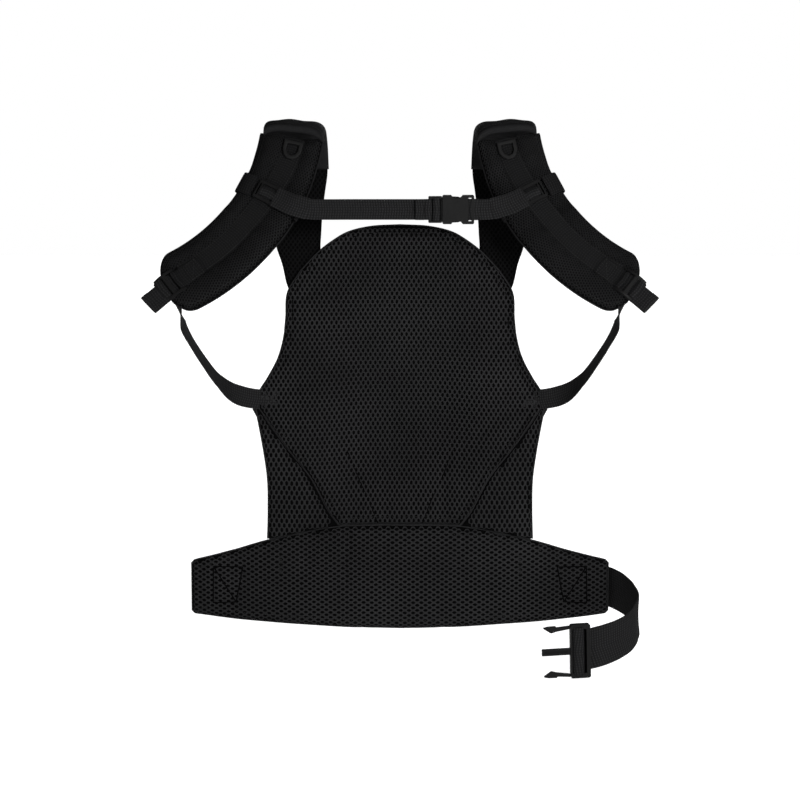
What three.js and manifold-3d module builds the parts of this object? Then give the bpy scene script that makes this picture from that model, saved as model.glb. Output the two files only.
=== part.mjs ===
// A soft baby carrier: mesh body panel, padded waistband, two padded shoulder straps,
// and the webbing, buckles, sliders and ladder locks that join and adjust them.
// Millimetres, +Z up. The wearer stands on the -Y side, and the child sits between the wearer and the panel,
// in the hollow of the panel's inner face. The origin is the middle of the waistband's inner face.
import * as THREE from "three";
import { mergeVertices } from "three/addons/utils/BufferGeometryUtils.js";
import Module from "manifold-3d";

const wasm = await Module();
wasm.setup();

// Clearances and cloth
const GAP = 0.3;
const LAYER_GAP = 1.1;
const PANEL_LAYER_GAP = 1.6;
const MESH_CLOTH = 3;
const SHELL_CLOTH = 2;
const WEBBING = 1.8;
const NARROW_WEBBING = 25;
const WIDE_WEBBING = 50;

// Waistband
const WAIST_HALF_LENGTH = 253;
const WAIST_FLAT_HALF = 24;
const WAIST_END_DEPTH = 32;
const WAIST_FOAM = 9;
const WAIST_FOAM_INSET = 7;
const WAIST_TOP = [[-253, 8], [-203, 27.5], [-162, 40], [-108, 53], [-60, 59], [0, 60]];
const WAIST_BOTTOM = [[-253, -52], [-195, -56], [-121, -59.5], [-60, -63.5], [0, -65]];

// Body panel
const PANEL_SHOULDER_HALF = 119;
const PANEL_ARCH = [[-119, 0], [-96, 24], [-78, 37.5], [-62, 46.5], [-35, 53], [0, 55]];
const PANEL_SIDE = [[72, 59], [85, 75], [108, 118], [137, 155], [160, 189], [171.5, 206], [170, 219],
  [158, 239], [146, 262], [139.5, 285], [136.5, 310], [134.5, 340], [119, 366]];
const GUSSET_SEAM = [[73.5, 57.5], [86, 74], [109, 117], [138, 154], [162, 188]];
const GUSSET_EDGE = [[161, 42], [158, 78], [157, 115], [161, 150], [169, 193]];
const POUCH_DEPTH = 30;
const POUCH_MIDDLE = 190;
const POUCH_FLAT_HALF = 30;
const POUCH_HALF_WIDTH = 118;
const POUCH_HALF_HEIGHT = 200;

// Shoulder strap plane: it passes through STRAP_ORIGIN, tilted so that the strap's lower end comes forward.
const STRAP_TILT = Math.atan(0.397);
const STRAP_ORIGIN = new THREE.Vector3(0, -16, 508);
const PAD_CENTRE = new THREE.Vector2(-364, 58);
const PAD_RADIUS = 239;
const PAD_HALF_WIDTH = 37;
const PAD_TOP_ANGLE = THREE.MathUtils.degToRad(-8.5);
const PAD_TIP_ANGLE = THREE.MathUtils.degToRad(-67);
const PAD_BACK = -17;
const PAD_FRONT = -2;
const PAD_FRONT_DROP = 6;
const PAD_BACK_DROP = 3.5;
const FOAM_INSET = 3;
const SLIDER_ANGLE = THREE.MathUtils.degToRad(-27.3);
const LOCK_BOX = new THREE.Vector2(-239, -145);
const LOCK_ALONG = new THREE.Vector2(-0.788, -0.616);

// Buckles: half sizes across the webbing, and lengths along it
const CHEST = { half: 15.5, thick: 6, frame: 16, armRoot: 10.5, armHead: 13.6, armLength: 22, armThick: 4.6 };
const WAIST = { half: 32.5, thick: 8, frame: 24, armRoot: 29, armHead: 29.5, armLength: 32, armThick: 5.6 };
const CHEST_HEIGHT = 444;
const CHEST_DEPTH = -46;
const CHEST_PLUG_X = 33;
const CHEST_SOCKET_X = 49.3;
const CHEST_SOCKET_LENGTH = 37;
const WAIST_PLUG_PLACE = new THREE.Vector3(225, -71, -75.5);
const WAIST_PLUG_YAW = THREE.MathUtils.degToRad(8);
const WAIST_PLUG_ROLL = THREE.MathUtils.degToRad(-1.5);
const WAIST_SOCKET_LENGTH = 56;

function finish(colour, roughness) {
  return new THREE.MeshStandardMaterial({ color: colour, roughness, metalness: 0 });
}

const AIR_MESH = finish(0x0c0c0d, 0.85);
const SMOOTH_CLOTH = finish(0x101012, 0.6);
const WEBBING_CLOTH = finish(0x111113, 0.7);
const FOAM = finish(0x2a2a2c, 0.95);
const PLASTIC = finish(0x131315, 0.4);
const RUBBER = finish(0x0d0d0e, 0.55);

// ---- Geometry helpers ----

// A closed plate: a grid across u and v with a thickness w, every corner placed by a function of (u, v, w).
// The directions of u, v and w are right handed, so the faces point out.
function plate(acrossSteps, alongSteps, place) {
  const geometry = new THREE.BoxGeometry(1, 1, 1, acrossSteps, alongSteps, 1);
  const corner = geometry.attributes.position;
  for (let i = 0; i < corner.count; i += 1) {
    const point = place(corner.getX(i) + 0.5, corner.getY(i) + 0.5, corner.getZ(i) + 0.5);
    corner.setXYZ(i, point.x, point.y, point.z);
  }
  geometry.computeVertexNormals();
  return geometry;
}

// A function of x through a list of points, smooth between them and symmetric about x = 0.
function profile(points) {
  const curve = new THREE.SplineCurve(points.map(([x, y]) => new THREE.Vector2(x, y)));
  const samples = curve.getPoints(120);
  return (x) => {
    const side = -Math.abs(x);
    let k = 1;
    while (k < samples.length - 1 && samples[k].x < side) k += 1;
    const a = samples[k - 1];
    const b = samples[k];
    const t = THREE.MathUtils.clamp((side - a.x) / (b.x - a.x), 0, 1);
    return a.y + (b.y - a.y) * t;
  };
}

// A strip of webbing between two edge curves, given as lists of points.
function ribbon(edgeA, edgeB, thickness, steps) {
  const curveA = new THREE.CatmullRomCurve3(edgeA, false, "centripetal");
  const curveB = new THREE.CatmullRomCurve3(edgeB, false, "centripetal");
  return plate(1, steps, (u, v, w) => {
    const a = curveA.getPoint(v);
    const b = curveB.getPoint(v);
    const along = curveA.getTangent(v).add(curveB.getTangent(v)).normalize();
    const normal = b.clone().sub(a).cross(along).normalize();
    return a.lerp(b, u).addScaledVector(normal, (w - 0.5) * thickness);
  });
}

// A ribbon given by its middle line and the direction across it at each point.
function ribbonAlong(middle, across, width, thickness, steps) {
  const half = width / 2;
  const edgeA = middle.map((point, i) => point.clone().addScaledVector(across[i].clone().normalize(), -half));
  const edgeB = middle.map((point, i) => point.clone().addScaledVector(across[i].clone().normalize(), half));
  return ribbon(edgeA, edgeB, thickness, steps);
}

function vectors(points) {
  return points.map(([x, y, z]) => new THREE.Vector3(x, y, z));
}

// The bare triangles of a geometry, with its shared corners merged.
function indexed(geometry) {
  const bare = geometry.clone();
  bare.deleteAttribute("normal");
  bare.deleteAttribute("uv");
  return mergeVertices(bare, 1e-4);
}

function toSolid(geometry) {
  const merged = indexed(geometry);
  return new wasm.Manifold(new wasm.Mesh({
    numProp: 3,
    vertProperties: new Float32Array(merged.attributes.position.array),
    triVerts: new Uint32Array(merged.index.array),
  }));
}

function toGeometry(solid) {
  const mesh = solid.getMesh();
  const geometry = new THREE.BufferGeometry();
  geometry.setAttribute("position", new THREE.BufferAttribute(mesh.vertProperties, 3));
  geometry.setIndex(new THREE.BufferAttribute(mesh.triVerts, 1));
  geometry.computeVertexNormals();
  return geometry;
}

// The first solid with every other solid cut out of it.
function cut(body, ...tools) {
  let solid = toSolid(body);
  for (const tool of tools) solid = solid.subtract(toSolid(tool));
  return toGeometry(solid);
}

function join(...bodies) {
  let solid = toSolid(bodies[0]);
  for (const body of bodies.slice(1)) solid = solid.add(toSolid(body));
  return toGeometry(solid);
}

// The mirror image of a geometry, given the signs of its three axes, with its faces wound to point out again.
function mirrored(geometry, signX, signY, signZ) {
  const image = indexed(geometry);
  image.scale(signX, signY, signZ);
  const corners = image.index.array;
  for (let i = 0; i < corners.length; i += 3) {
    const first = corners[i];
    corners[i] = corners[i + 1];
    corners[i + 1] = first;
  }
  return toGeometry(toSolid(image));
}

function block(x0, x1, y0, y1, z0, z1) {
  const geometry = new THREE.BoxGeometry(x1 - x0, y1 - y0, z1 - z0);
  geometry.translate((x0 + x1) / 2, (y0 + y1) / 2, (z0 + z1) / 2);
  return geometry;
}

// A flat outline in X and Z, given a thickness along Y about the middle plane.
function flatShape(points, thickness) {
  const shape = new THREE.Shape(points.map(([x, z]) => new THREE.Vector2(x, z)));
  const geometry = new THREE.ExtrudeGeometry(shape, { depth: thickness, bevelEnabled: false });
  geometry.rotateX(Math.PI / 2);
  geometry.translate(0, thickness / 2, 0);
  return geometry;
}

function roundedRectangle(x0, x1, z0, z1, radius) {
  const shape = new THREE.Shape();
  shape.moveTo(x0 + radius, z0);
  shape.lineTo(x1 - radius, z0);
  shape.absarc(x1 - radius, z0 + radius, radius, -Math.PI / 2, 0);
  shape.lineTo(x1, z1 - radius);
  shape.absarc(x1 - radius, z1 - radius, radius, 0, Math.PI / 2);
  shape.lineTo(x0 + radius, z1);
  shape.absarc(x0 + radius, z1 - radius, radius, Math.PI / 2, Math.PI);
  shape.lineTo(x0, z0 + radius);
  shape.absarc(x0 + radius, z0 + radius, radius, Math.PI, Math.PI * 1.5);
  return shape.getPoints(4).map((point) => [point.x, point.y]);
}

function roundedPlate(x0, x1, z0, z1, radius, thickness) {
  const outline = roundedRectangle(x0, x1, z0, z1, radius).slice(0, -1);
  return flatShape(outline, thickness);
}

const carrier = new THREE.Group();

function add(parent, name, geometry, material) {
  const mesh = new THREE.Mesh(geometry, material);
  mesh.name = name;
  parent.add(mesh);
  return mesh;
}

// ---- Waistband ----

const waistTop = profile(WAIST_TOP);
const waistBottom = profile(WAIST_BOTTOM);

function waistFront(x) {
  const beyond = Math.max(0, Math.abs(x) - WAIST_FLAT_HALF) / (WAIST_HALF_LENGTH - WAIST_FLAT_HALF);
  return WAIST_END_DEPTH * beyond * beyond;
}

function waistLayer(back, front, inset) {
  const half = WAIST_HALF_LENGTH - inset;
  return plate(22, 3, (u, v, w) => {
    const x = (2 * u - 1) * half;
    const z0 = waistBottom(x) + inset;
    const z1 = waistTop(x) - inset;
    return new THREE.Vector3(x, waistFront(x) + back + (front - back) * w, z0 + (z1 - z0) * v);
  });
}

// The ends of the wide webbing along the band, and the height of its lower edge.
const WAIST_WEBBING_ENDS = [-250, 254];
const WAIST_WEBBING_FOOT = -49.5;

function buildWaistband(parent) {
  const foamFront = MESH_CLOTH + GAP;
  const foamBack = foamFront + WAIST_FOAM;
  const shellFront = foamBack + GAP;
  const shellBack = shellFront + SHELL_CLOTH;
  add(parent, "waist_mesh", waistLayer(MESH_CLOTH, 0, 0), AIR_MESH);
  add(parent, "waist_foam", waistLayer(foamBack, foamFront, WAIST_FOAM_INSET), FOAM);
  add(parent, "waist_shell", waistLayer(shellBack, shellFront, 0), SMOOTH_CLOTH);
  const webBack = shellBack + GAP + WEBBING;
  const [webStart, webEnd] = WAIST_WEBBING_ENDS;
  const webbing = plate(20, 1, (u, v, w) => {
    const x = webStart + (webEnd - webStart) * u;
    return new THREE.Vector3(x, waistFront(x) + webBack - WEBBING * w, WAIST_WEBBING_FOOT + WIDE_WEBBING * v);
  });
  add(parent, "waist_webbing", webbing, WEBBING_CLOTH);
}

// ---- Body panel ----

const panelArch = profile(PANEL_ARCH);
const panelSide = new THREE.SplineCurve(PANEL_SIDE.map(([x, z]) => new THREE.Vector2(x, z)));
const gussetSeam = new THREE.SplineCurve(GUSSET_SEAM.map(([x, z]) => new THREE.Vector2(x, z)));
const gussetEdge = new THREE.SplineCurve(GUSSET_EDGE.map(([x, z]) => new THREE.Vector2(x, z)));

// Depth of the panel's inner face: level with the waistband below, a little back at the top,
// and hollowed away from the wearer in the middle, where the child sits.
function panelDepth(x, z) {
  const rise = THREE.MathUtils.clamp((z - 50) / 150, 0, 1);
  const edge = waistFront(x) * (1 - rise) + rise * (10 + 10 * THREE.MathUtils.clamp((z - 200) / 220, 0, 1));
  const upShare = Math.min(1, Math.abs(z - POUCH_MIDDLE) / POUCH_HALF_HEIGHT);
  const acrossHollow = 1 - THREE.MathUtils.smoothstep(Math.abs(x), POUCH_FLAT_HALF, POUCH_HALF_WIDTH);
  const upHollow = Math.cos((upShare * Math.PI) / 2) ** 2;
  return edge + POUCH_DEPTH * acrossHollow * upHollow;
}

function panelPoint(u, v) {
  const side = panelSide.getPointAt(v);
  const share = 2 * u - 1;
  const x = share * side.x;
  const top = panelArch(share * PANEL_SHOULDER_HALF);
  const bottom = waistTop(x) + GAP - waistTop(side.x);
  return { x, z: side.y + v ** 4 * top + (1 - v) ** 3 * bottom };
}

function panelLayer(back, front, alongSteps) {
  return plate(12, alongSteps, (u, v, w) => {
    const { x, z } = panelPoint(u, v);
    return new THREE.Vector3(x, panelDepth(x, z) + back + (front - back) * w, z);
  });
}

function buildPanel(parent) {
  add(parent, "panel_mesh", panelLayer(MESH_CLOTH, 0, 16), AIR_MESH);
  const shellFront = MESH_CLOTH + PANEL_LAYER_GAP;
  add(parent, "panel_shell", panelLayer(shellFront + SHELL_CLOTH, shellFront, 16), SMOOTH_CLOTH);
  for (const [side, sign] of [["left", -1], ["right", 1]]) {
    const gusset = plate(2, 8, (u, v, w) => {
      const inner = gussetSeam.getPointAt(v);
      const outer = gussetEdge.getPointAt(v);
      const x = inner.x + (outer.x - inner.x) * u;
      const floor = waistTop(x) + 3 * GAP;
      const z = Math.max(inner.y + (outer.y - inner.y) * u, floor + v);
      const depth = panelDepth(x, z) + (MESH_CLOTH + SHELL_CLOTH) * (1 - w);
      return new THREE.Vector3(x, depth, z);
    });
    add(parent, `${side}_side_gusset`, sign < 0 ? mirrored(gusset, -1, 1, 1) : gusset, AIR_MESH);
  }
}

// ---- Shoulder strap: everything is drawn for the left strap, and the right one is its mirror image ----

const STRAP_UP = new THREE.Vector3(0, Math.sin(STRAP_TILT), Math.cos(STRAP_TILT));
const STRAP_OUT = new THREE.Vector3(0, -Math.cos(STRAP_TILT), Math.sin(STRAP_TILT));

// A point of the strap plane: x across, t up the plane and d out of it, towards the wearer.
function strapPoint(x, t, d) {
  const origin = new THREE.Vector3(x, 0, 0).add(STRAP_ORIGIN);
  return origin.addScaledVector(STRAP_UP, t).addScaledVector(STRAP_OUT, d);
}

// A point on the pad: an angle round the pad's arc, a distance across from its middle line, and d out.
function padPoint(angle, across, d) {
  const radius = PAD_RADIUS + across;
  const x = PAD_CENTRE.x + radius * Math.cos(angle);
  const t = PAD_CENTRE.y + radius * Math.sin(angle);
  return strapPoint(x, t, d);
}

// How far the middle webbing lies from the pad's middle line.
function webbingOffset(angle) {
  const share = THREE.MathUtils.clamp((PAD_TOP_ANGLE - angle) / THREE.MathUtils.degToRad(30), 0, 1);
  return 5 - 10.5 * THREE.MathUtils.smoothstep(share, 0, 1);
}

// Height of the pad's front and back: nearly flat in the middle, rounded off towards both edges.
function padFront(across) {
  return PAD_FRONT - PAD_FRONT_DROP * (Math.abs(across) / PAD_HALF_WIDTH) ** 4;
}

function padBack(across) {
  return PAD_BACK + PAD_BACK_DROP * (Math.abs(across) / PAD_HALF_WIDTH) ** 4;
}

// A layer of the pad between two heights, with both corners of its tip rounded.
function padLayer(inset, height) {
  return plate(8, 14, (u, v, w) => {
    const tipRound = Math.sqrt(1 - (1 - Math.min(1, v / 0.09)) ** 2 * 0.75);
    const half = (PAD_HALF_WIDTH - inset) * tipRound;
    const across = (2 * u - 1) * half;
    const tipAngle = PAD_TIP_ANGLE + inset / PAD_RADIUS;
    const topAngle = PAD_TOP_ANGLE - inset / PAD_RADIUS;
    const angle = tipAngle + (topAngle - tipAngle) * v;
    const [low, high] = height(across);
    return padPoint(angle, across, low + (high - low) * w);
  });
}

const CAP_MIDDLE = new THREE.Vector3(-123, 0, 0);
const CAP_THICK = 9;
// The middle line of the cap from the rear strap, over the top of the shoulder, to its front lip: y and z.
const CAP_PATH = [[53.5, 486], [54, 505], [48, 524], [33, 537], [14, 541.5], [-4, 540.5], [-11.5, 533]];

function buildCap(parent) {
  const curve = new THREE.SplineCurve(CAP_PATH.map(([y, z]) => new THREE.Vector2(y, z)));
  const cap = plate(6, 12, (u, v, w) => {
    const centre = curve.getPointAt(v);
    const along = curve.getTangentAt(v);
    const share = 2 * u - 1;
    const half = 37.5 - 2 * v;
    const crown = -7 * share ** 4 * THREE.MathUtils.smoothstep(v, 0.15, 0.5);
    const slope = -3.5 * share * THREE.MathUtils.smoothstep(v, 0.6, 1);
    const inward = (w - 0.5) * CAP_THICK;
    const y = centre.x - along.y * inward;
    const z = centre.y + along.x * inward + crown + slope;
    return new THREE.Vector3(CAP_MIDDLE.x - 2 * v + share * half, y, z);
  });
  add(parent, "shoulder_cap", cap, SMOOTH_CLOTH);
}

const REAR_OUTER = [[-136, 18, 347], [-141, 21, 372], [-150, 26, 400], [-157, 36, 440], [-160, 48, 484.5]];
const REAR_INNER = [[-96, 20, 390], [-94.5, 26, 410], [-93, 34, 435], [-90, 42, 460], [-87, 48, 484.5]];

function buildRearStrap(parent) {
  const outer = new THREE.CatmullRomCurve3(vectors(REAR_OUTER));
  const inner = new THREE.CatmullRomCurve3(vectors(REAR_INNER));
  const rear = plate(3, 8, (u, v, w) => {
    const point = outer.getPoint(v).lerp(inner.getPoint(v), u);
    const hemClear = 1.5 + MESH_CLOTH + SHELL_CLOTH;
    return point.add(new THREE.Vector3(0, hemClear + 7 * (1 - w), 0));
  });
  add(parent, "rear_strap", rear, AIR_MESH);
}

function buildPad(parent) {
  add(parent, "pad_mesh", padLayer(0, (across) => {
    const front = padFront(across);
    return [front - MESH_CLOTH, front];
  }), AIR_MESH);
  add(parent, "pad_foam", padLayer(FOAM_INSET, (across) => [
    padBack(across) + SHELL_CLOTH + LAYER_GAP,
    padFront(across) - MESH_CLOTH - LAYER_GAP,
  ]), FOAM);
  add(parent, "pad_back", padLayer(0, (across) => {
    const back = padBack(across);
    return [back, back + SHELL_CLOTH];
  }), SMOOTH_CLOTH);
}

function buildStrapWebbing(parent) {
  const start = THREE.MathUtils.degToRad(-62);
  const end = THREE.MathUtils.degToRad(-9.5);
  const half = NARROW_WEBBING / 2;
  const webbing = plate(1, 14, (u, v, w) => {
    const angle = start + (end - start) * v;
    const offset = webbingOffset(angle);
    const low = PAD_FRONT + GAP;
    return padPoint(angle, offset + (2 * u - 1) * half, low + WEBBING * w);
  });
  add(parent, "strap_webbing", webbing, WEBBING_CLOTH);
}

// A flat place on the strap: x runs across the pad towards its inner edge, z up the strap, -y out of it.
function strapFrame(angle, across, d) {
  const frame = new THREE.Group();
  const outward = new THREE.Vector3(Math.cos(angle), 0, 0).addScaledVector(STRAP_UP, Math.sin(angle));
  const up = outward.clone().cross(STRAP_OUT).negate();
  const back = STRAP_OUT.clone().negate();
  frame.position.copy(padPoint(angle, across, d));
  frame.setRotationFromMatrix(new THREE.Matrix4().makeBasis(outward, back, up));
  return frame;
}

function buildRubberLoop(parent) {
  const frame = strapFrame(THREE.MathUtils.degToRad(-13), webbingOffset(-0.2), 3.4);
  const shape = [[-11, 11], [-11, -2], [-8, -8], [-3, -11.5], [3, -11.5], [8, -8], [11, -2], [11, 11]];
  const hole = [[-7, 7], [-7, -1], [-4.5, -5.5], [0, -7.5], [4.5, -5.5], [7, -1], [7, 7]];
  add(frame, "rubber_loop", cut(flatShape(shape, 2.6), flatShape(hole, 6)), RUBBER);
  parent.add(frame);
}

const SLIDER_LIFT = 3.6;

function buildSlider(parent) {
  const frame = strapFrame(SLIDER_ANGLE, webbingOffset(SLIDER_ANGLE), SLIDER_LIFT);
  const body = roundedPlate(-15.5, 15.5, -11.5, 11.5, 2, 3);
  const window = block(-10.5, 10.5, -4, 4, -8, 8);
  const slots = [-1, 1].map((side) => block(side * 13 - 0.9, side * 13 + 0.9, -4, 4, -8, 8));
  add(frame, "slider", cut(body, window, ...slots), PLASTIC);
  parent.add(frame);
}

// The band that holds the slider: it leaves the slider's outer side, goes round behind the pad
// and comes back to the front on the inner side. Across the pad, then out of it.
const BAND_PATH = [[-21.5, 3.2], [-30, 2], [-37.5, -2], [-40.5, -8], [-37.5, -15], [-28, -19.2], [0, -19.6],
  [28, -19.2], [37.5, -15], [40.5, -8], [38.2, -3.2]];

function buildBand(parent) {
  const half = NARROW_WEBBING / 2;
  const up = padPoint(SLIDER_ANGLE + 0.01, 0, 0).sub(padPoint(SLIDER_ANGLE - 0.01, 0, 0)).normalize();
  const middle = BAND_PATH.map(([across, d]) => padPoint(SLIDER_ANGLE, across, d));
  const across = BAND_PATH.map(() => up.clone().negate());
  add(parent, "chest_band", ribbonAlong(middle, across, half * 2, 1.4, 26), WEBBING_CLOTH);
}

const LOCK_ACROSS = new THREE.Vector2(-LOCK_ALONG.y, LOCK_ALONG.x);

// A flat place at the strap's lower end: along the webbing from the sewn box, across it, and out.
function lockFrame(along, across, d, tilt) {
  const x = LOCK_BOX.x + along * LOCK_ALONG.x + across * LOCK_ACROSS.x;
  const t = LOCK_BOX.y + along * LOCK_ALONG.y + across * LOCK_ACROSS.y;
  const frame = new THREE.Group();
  const down = new THREE.Vector3(LOCK_ALONG.x, 0, 0).addScaledVector(STRAP_UP, LOCK_ALONG.y);
  const up = down.clone().negate();
  const back = STRAP_OUT.clone().negate();
  const side = back.clone().cross(up);
  frame.position.copy(strapPoint(x, t, d));
  frame.setRotationFromMatrix(new THREE.Matrix4().makeBasis(side, back, up));
  frame.rotateX(tilt);
  return frame;
}

const LOCK_HALF = 14.8;
const LOCK_BAR = 22;

// Side outline of the ladder lock's rails, bowed out in the middle: up the strap, then out of it.
const LOCK_RAIL = [[2.6, -3], [2.6, 1.2], [-2, 3.9], [-9, 5.2], [-16, 4.6], [-21, 2.2], [-23.6, -1],
  [-22, -3], [-17, -1.2], [-10, 0.2], [-3, -0.8], [0, -2.6]];

function lockRail(x0, x1) {
  const shape = new THREE.Shape(LOCK_RAIL.map(([up, out]) => new THREE.Vector2(up, out)));
  const rail = new THREE.ExtrudeGeometry(shape, { depth: x1 - x0, bevelEnabled: false });
  const upAxis = new THREE.Vector3(0, 0, 1);
  const outAxis = new THREE.Vector3(0, -1, 0);
  rail.applyMatrix4(new THREE.Matrix4().makeBasis(upAxis, outAxis, new THREE.Vector3(1, 0, 0)));
  rail.translate(x0, 0, 0);
  return rail;
}

function buildLadderLock(parent) {
  const frame = lockFrame(LOCK_BAR, -2.5, 4.8, 0);
  const rail = 2.8;
  const bars = [
    block(-LOCK_HALF, LOCK_HALF, -0.6, 2.2, -1.6, 1.6),
    block(-LOCK_HALF, LOCK_HALF, -4.2, -1, -13.4, -8.6),
    block(-LOCK_HALF, LOCK_HALF, -2.4, 1, -22, -17.6),
  ];
  const rails = [lockRail(-LOCK_HALF, rail - LOCK_HALF), lockRail(LOCK_HALF - rail, LOCK_HALF)];
  add(frame, "ladder_lock", join(rails[0], ...bars, rails[1]), PLASTIC);
  parent.add(frame);
}

function buildLockTab(parent) {
  const frame = lockFrame(0, -2, 2.4, 0);
  add(frame, "lock_tab", block(-12.4, 12.4, -0.9, 0.9, -19, 11), WEBBING_CLOTH);
  parent.add(frame);
}

function buildTail(parent) {
  const frame = lockFrame(46.5, 1, 7.2, THREE.MathUtils.degToRad(-8));
  frame.rotateY(THREE.MathUtils.degToRad(-6));
  const strip = block(-12.4, 12.4, -0.9, 0.9, -21, 0);
  const hem = block(-12.4, 12.4, -2.6, -0.8, -21, -12);
  add(frame, "adjuster_tail", join(strip, hem), WEBBING_CLOTH);
  parent.add(frame);
}

// Middle line of the side webbing from below the ladder lock to the panel's wing,
// and the direction across it.
const SIDE_START = [[40, 2, -5.2], [43.5, 12, -8], [46, 23, -11]];
const SIDE_START_ACROSS = [[0.2, 1, 0], [0.1, 0.8, -0.6], [0, 0.3, -1]];
const SIDE_MIDDLE = [[-252.5, -67, 311], [-245, -56, 292], [-232, -42, 267], [-216, -24, 241],
  [-201, -8, 224.5], [-187, 1, 217], [-172, 5, 213.5], [-148, 6.3, 211.5]];
const SIDE_ACROSS = [[0.2, 1, 0.1], [0.1, 1, 0.15], [0.05, 1, 0.3], [0, 0.9, 0.55],
  [0.05, 0.5, 0.85], [0.1, 0.15, 1], [0.08, 0, 1], [0.06, 0, 1]];

function lockVector(along, across, d) {
  const x = LOCK_ALONG.x * along + LOCK_ACROSS.x * across;
  const t = LOCK_ALONG.y * along + LOCK_ACROSS.y * across;
  return new THREE.Vector3(x, 0, 0).addScaledVector(STRAP_UP, t).addScaledVector(STRAP_OUT, d);
}

function buildSideWebbing(parent) {
  const box = strapPoint(LOCK_BOX.x, LOCK_BOX.y, 0);
  const start = SIDE_START.map((place) => lockVector(...place).add(box));
  const startAcross = SIDE_START_ACROSS.map((place) => lockVector(...place).negate());
  const middle = [...start, ...vectors(SIDE_MIDDLE)];
  const across = [...startAcross, ...vectors(SIDE_ACROSS)];
  const webbing = ribbonAlong(middle, across, NARROW_WEBBING - 1, WEBBING, 26);
  add(parent, "side_webbing", webbing, WEBBING_CLOTH);
}

function buildShoulder(parent) {
  buildRearStrap(parent);
  buildCap(parent);
  buildPad(parent);
  buildStrapWebbing(parent);
  buildRubberLoop(parent);
  buildSlider(parent);
  buildBand(parent);
  buildLockTab(parent);
  buildLadderLock(parent);
  buildTail(parent);
  buildSideWebbing(parent);
}

function buildShoulders(parent) {
  for (const [side, sign] of [["left", 1], ["right", -1]]) {
    const shoulder = new THREE.Group();
    buildShoulder(shoulder);
    shoulder.traverse((piece) => {
      if (piece.isMesh) piece.name = `${side}_${piece.name}`;
    });
    shoulder.scale.x = sign;
    parent.add(shoulder);
  }
}

// ---- Side release buckles: x runs from the webbing towards the mating half, z across, y through ----

// The plug frame's two webbing slots, as shares of its length.
const PLUG_SLOTS = [[0.2, 0.38], [0.82, 0.91]];
// The frame's side rails, as a share of its half width.
const PLUG_RAIL = 0.18;

function plugBody(size, guideLength, guideHalf) {
  const frame = roundedPlate(0, size.frame, -size.half, size.half, size.half * 0.08, size.thick);
  const rail = size.half * PLUG_RAIL;
  const slotHalf = size.half - rail;
  const slots = PLUG_SLOTS.map(([from, to]) => block(
    from * size.frame, to * size.frame, -size.thick, size.thick, -slotHalf, slotHalf));
  const guide = block(size.frame - 1, size.frame + guideLength, -2, 2, -guideHalf, guideHalf);
  const slitHalf = guideHalf * 0.35;
  const slit = block(size.frame + 3, size.frame + guideLength - 3, -3, 3, -slitHalf, slitHalf);
  return cut(join(frame, guide), ...slots, slit);
}

// One arm, above the middle: a slim stem with an arrow head at its end.
function plugArm(size) {
  const start = size.frame + GAP;
  const end = start + size.armLength;
  const head = size.armLength * 0.48;
  const root = size.armRoot;
  const top = size.armHead;
  const stem = size.half * 0.055;
  const outline = [
    [start, root - stem], [end - head - 1, top - 2 * stem - 1], [end - head * 0.6, top - size.half * 0.2],
    [end - 1, top - 1], [end, top], [end - head * 0.35, top + 1.3], [end - head, top + 1.6],
    [end - head - 0.6, top], [start, root + stem],
  ];
  return flatShape(outline, size.armThick);
}

function socketBody(length, half, thick, mouth, window) {
  const outline = roundedRectangle(0, length, -half, half, half * 0.12).slice(0, -1);
  const body = flatShape(outline, thick);
  const cavity = block(-2, mouth.length, -mouth.thick / 2, mouth.thick / 2, -mouth.half, mouth.half);
  const sides = [-1, 1].map((side) => {
    const scallop = new THREE.CylinderGeometry(window.radius, window.radius, thick * 2, 16);
    scallop.scale(1.15, 1, 1);
    scallop.translate(window.middle, 0, side * (half + window.radius * 0.35));
    return scallop;
  });
  const slot = block(length - 6.5, length - 3, -thick, thick, -half + 3, half - 3);
  return cut(body, cavity, ...sides, slot);
}

function buildChestBuckle(parent) {
  const plug = new THREE.Group();
  plug.position.set(CHEST_PLUG_X, CHEST_DEPTH, CHEST_HEIGHT);
  add(plug, "chest_plug", plugBody(CHEST, 18, 2.5), PLASTIC);
  add(plug, "chest_arm_upper", plugArm(CHEST), PLASTIC);
  add(plug, "chest_arm_lower", mirrored(plugArm(CHEST), 1, 1, -1), PLASTIC);
  parent.add(plug);
  const socket = new THREE.Group();
  socket.position.set(CHEST_SOCKET_X, CHEST_DEPTH, CHEST_HEIGHT);
  const mouth = { length: 26, thick: 6.2, half: 15.5 };
  const window = { middle: 17, radius: 6.2 };
  add(socket, "chest_socket", socketBody(CHEST_SOCKET_LENGTH, 16.8, 11, mouth, window), PLASTIC);
  parent.add(socket);
}

function buildWaistPlug(parent) {
  const plug = new THREE.Group();
  plug.position.copy(WAIST_PLUG_PLACE);
  plug.rotation.set(0, WAIST_PLUG_ROLL, WAIST_PLUG_YAW);
  const turned = new THREE.Group();
  turned.rotation.z = Math.PI;
  add(turned, "waist_plug", plugBody(WAIST, 34, 4), PLASTIC);
  add(turned, "waist_arm_upper", plugArm(WAIST), PLASTIC);
  add(turned, "waist_arm_lower", mirrored(plugArm(WAIST), 1, 1, -1), PLASTIC);
  plug.add(turned);
  parent.add(plug);
}

const WAIST_SOCKET_PLACE = new THREE.Vector3(-166, 53, -24.5);

function buildWaistSocket(parent) {
  const socket = new THREE.Group();
  socket.position.copy(WAIST_SOCKET_PLACE);
  socket.rotation.z = Math.PI;
  const mouth = { length: 40, thick: 8.6, half: 31 };
  const window = { middle: 25, radius: 11 };
  add(socket, "waist_socket", socketBody(WAIST_SOCKET_LENGTH, 34, 14, mouth, window), PLASTIC);
  parent.add(socket);
}

// ---- Webbing between the pieces ----

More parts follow.
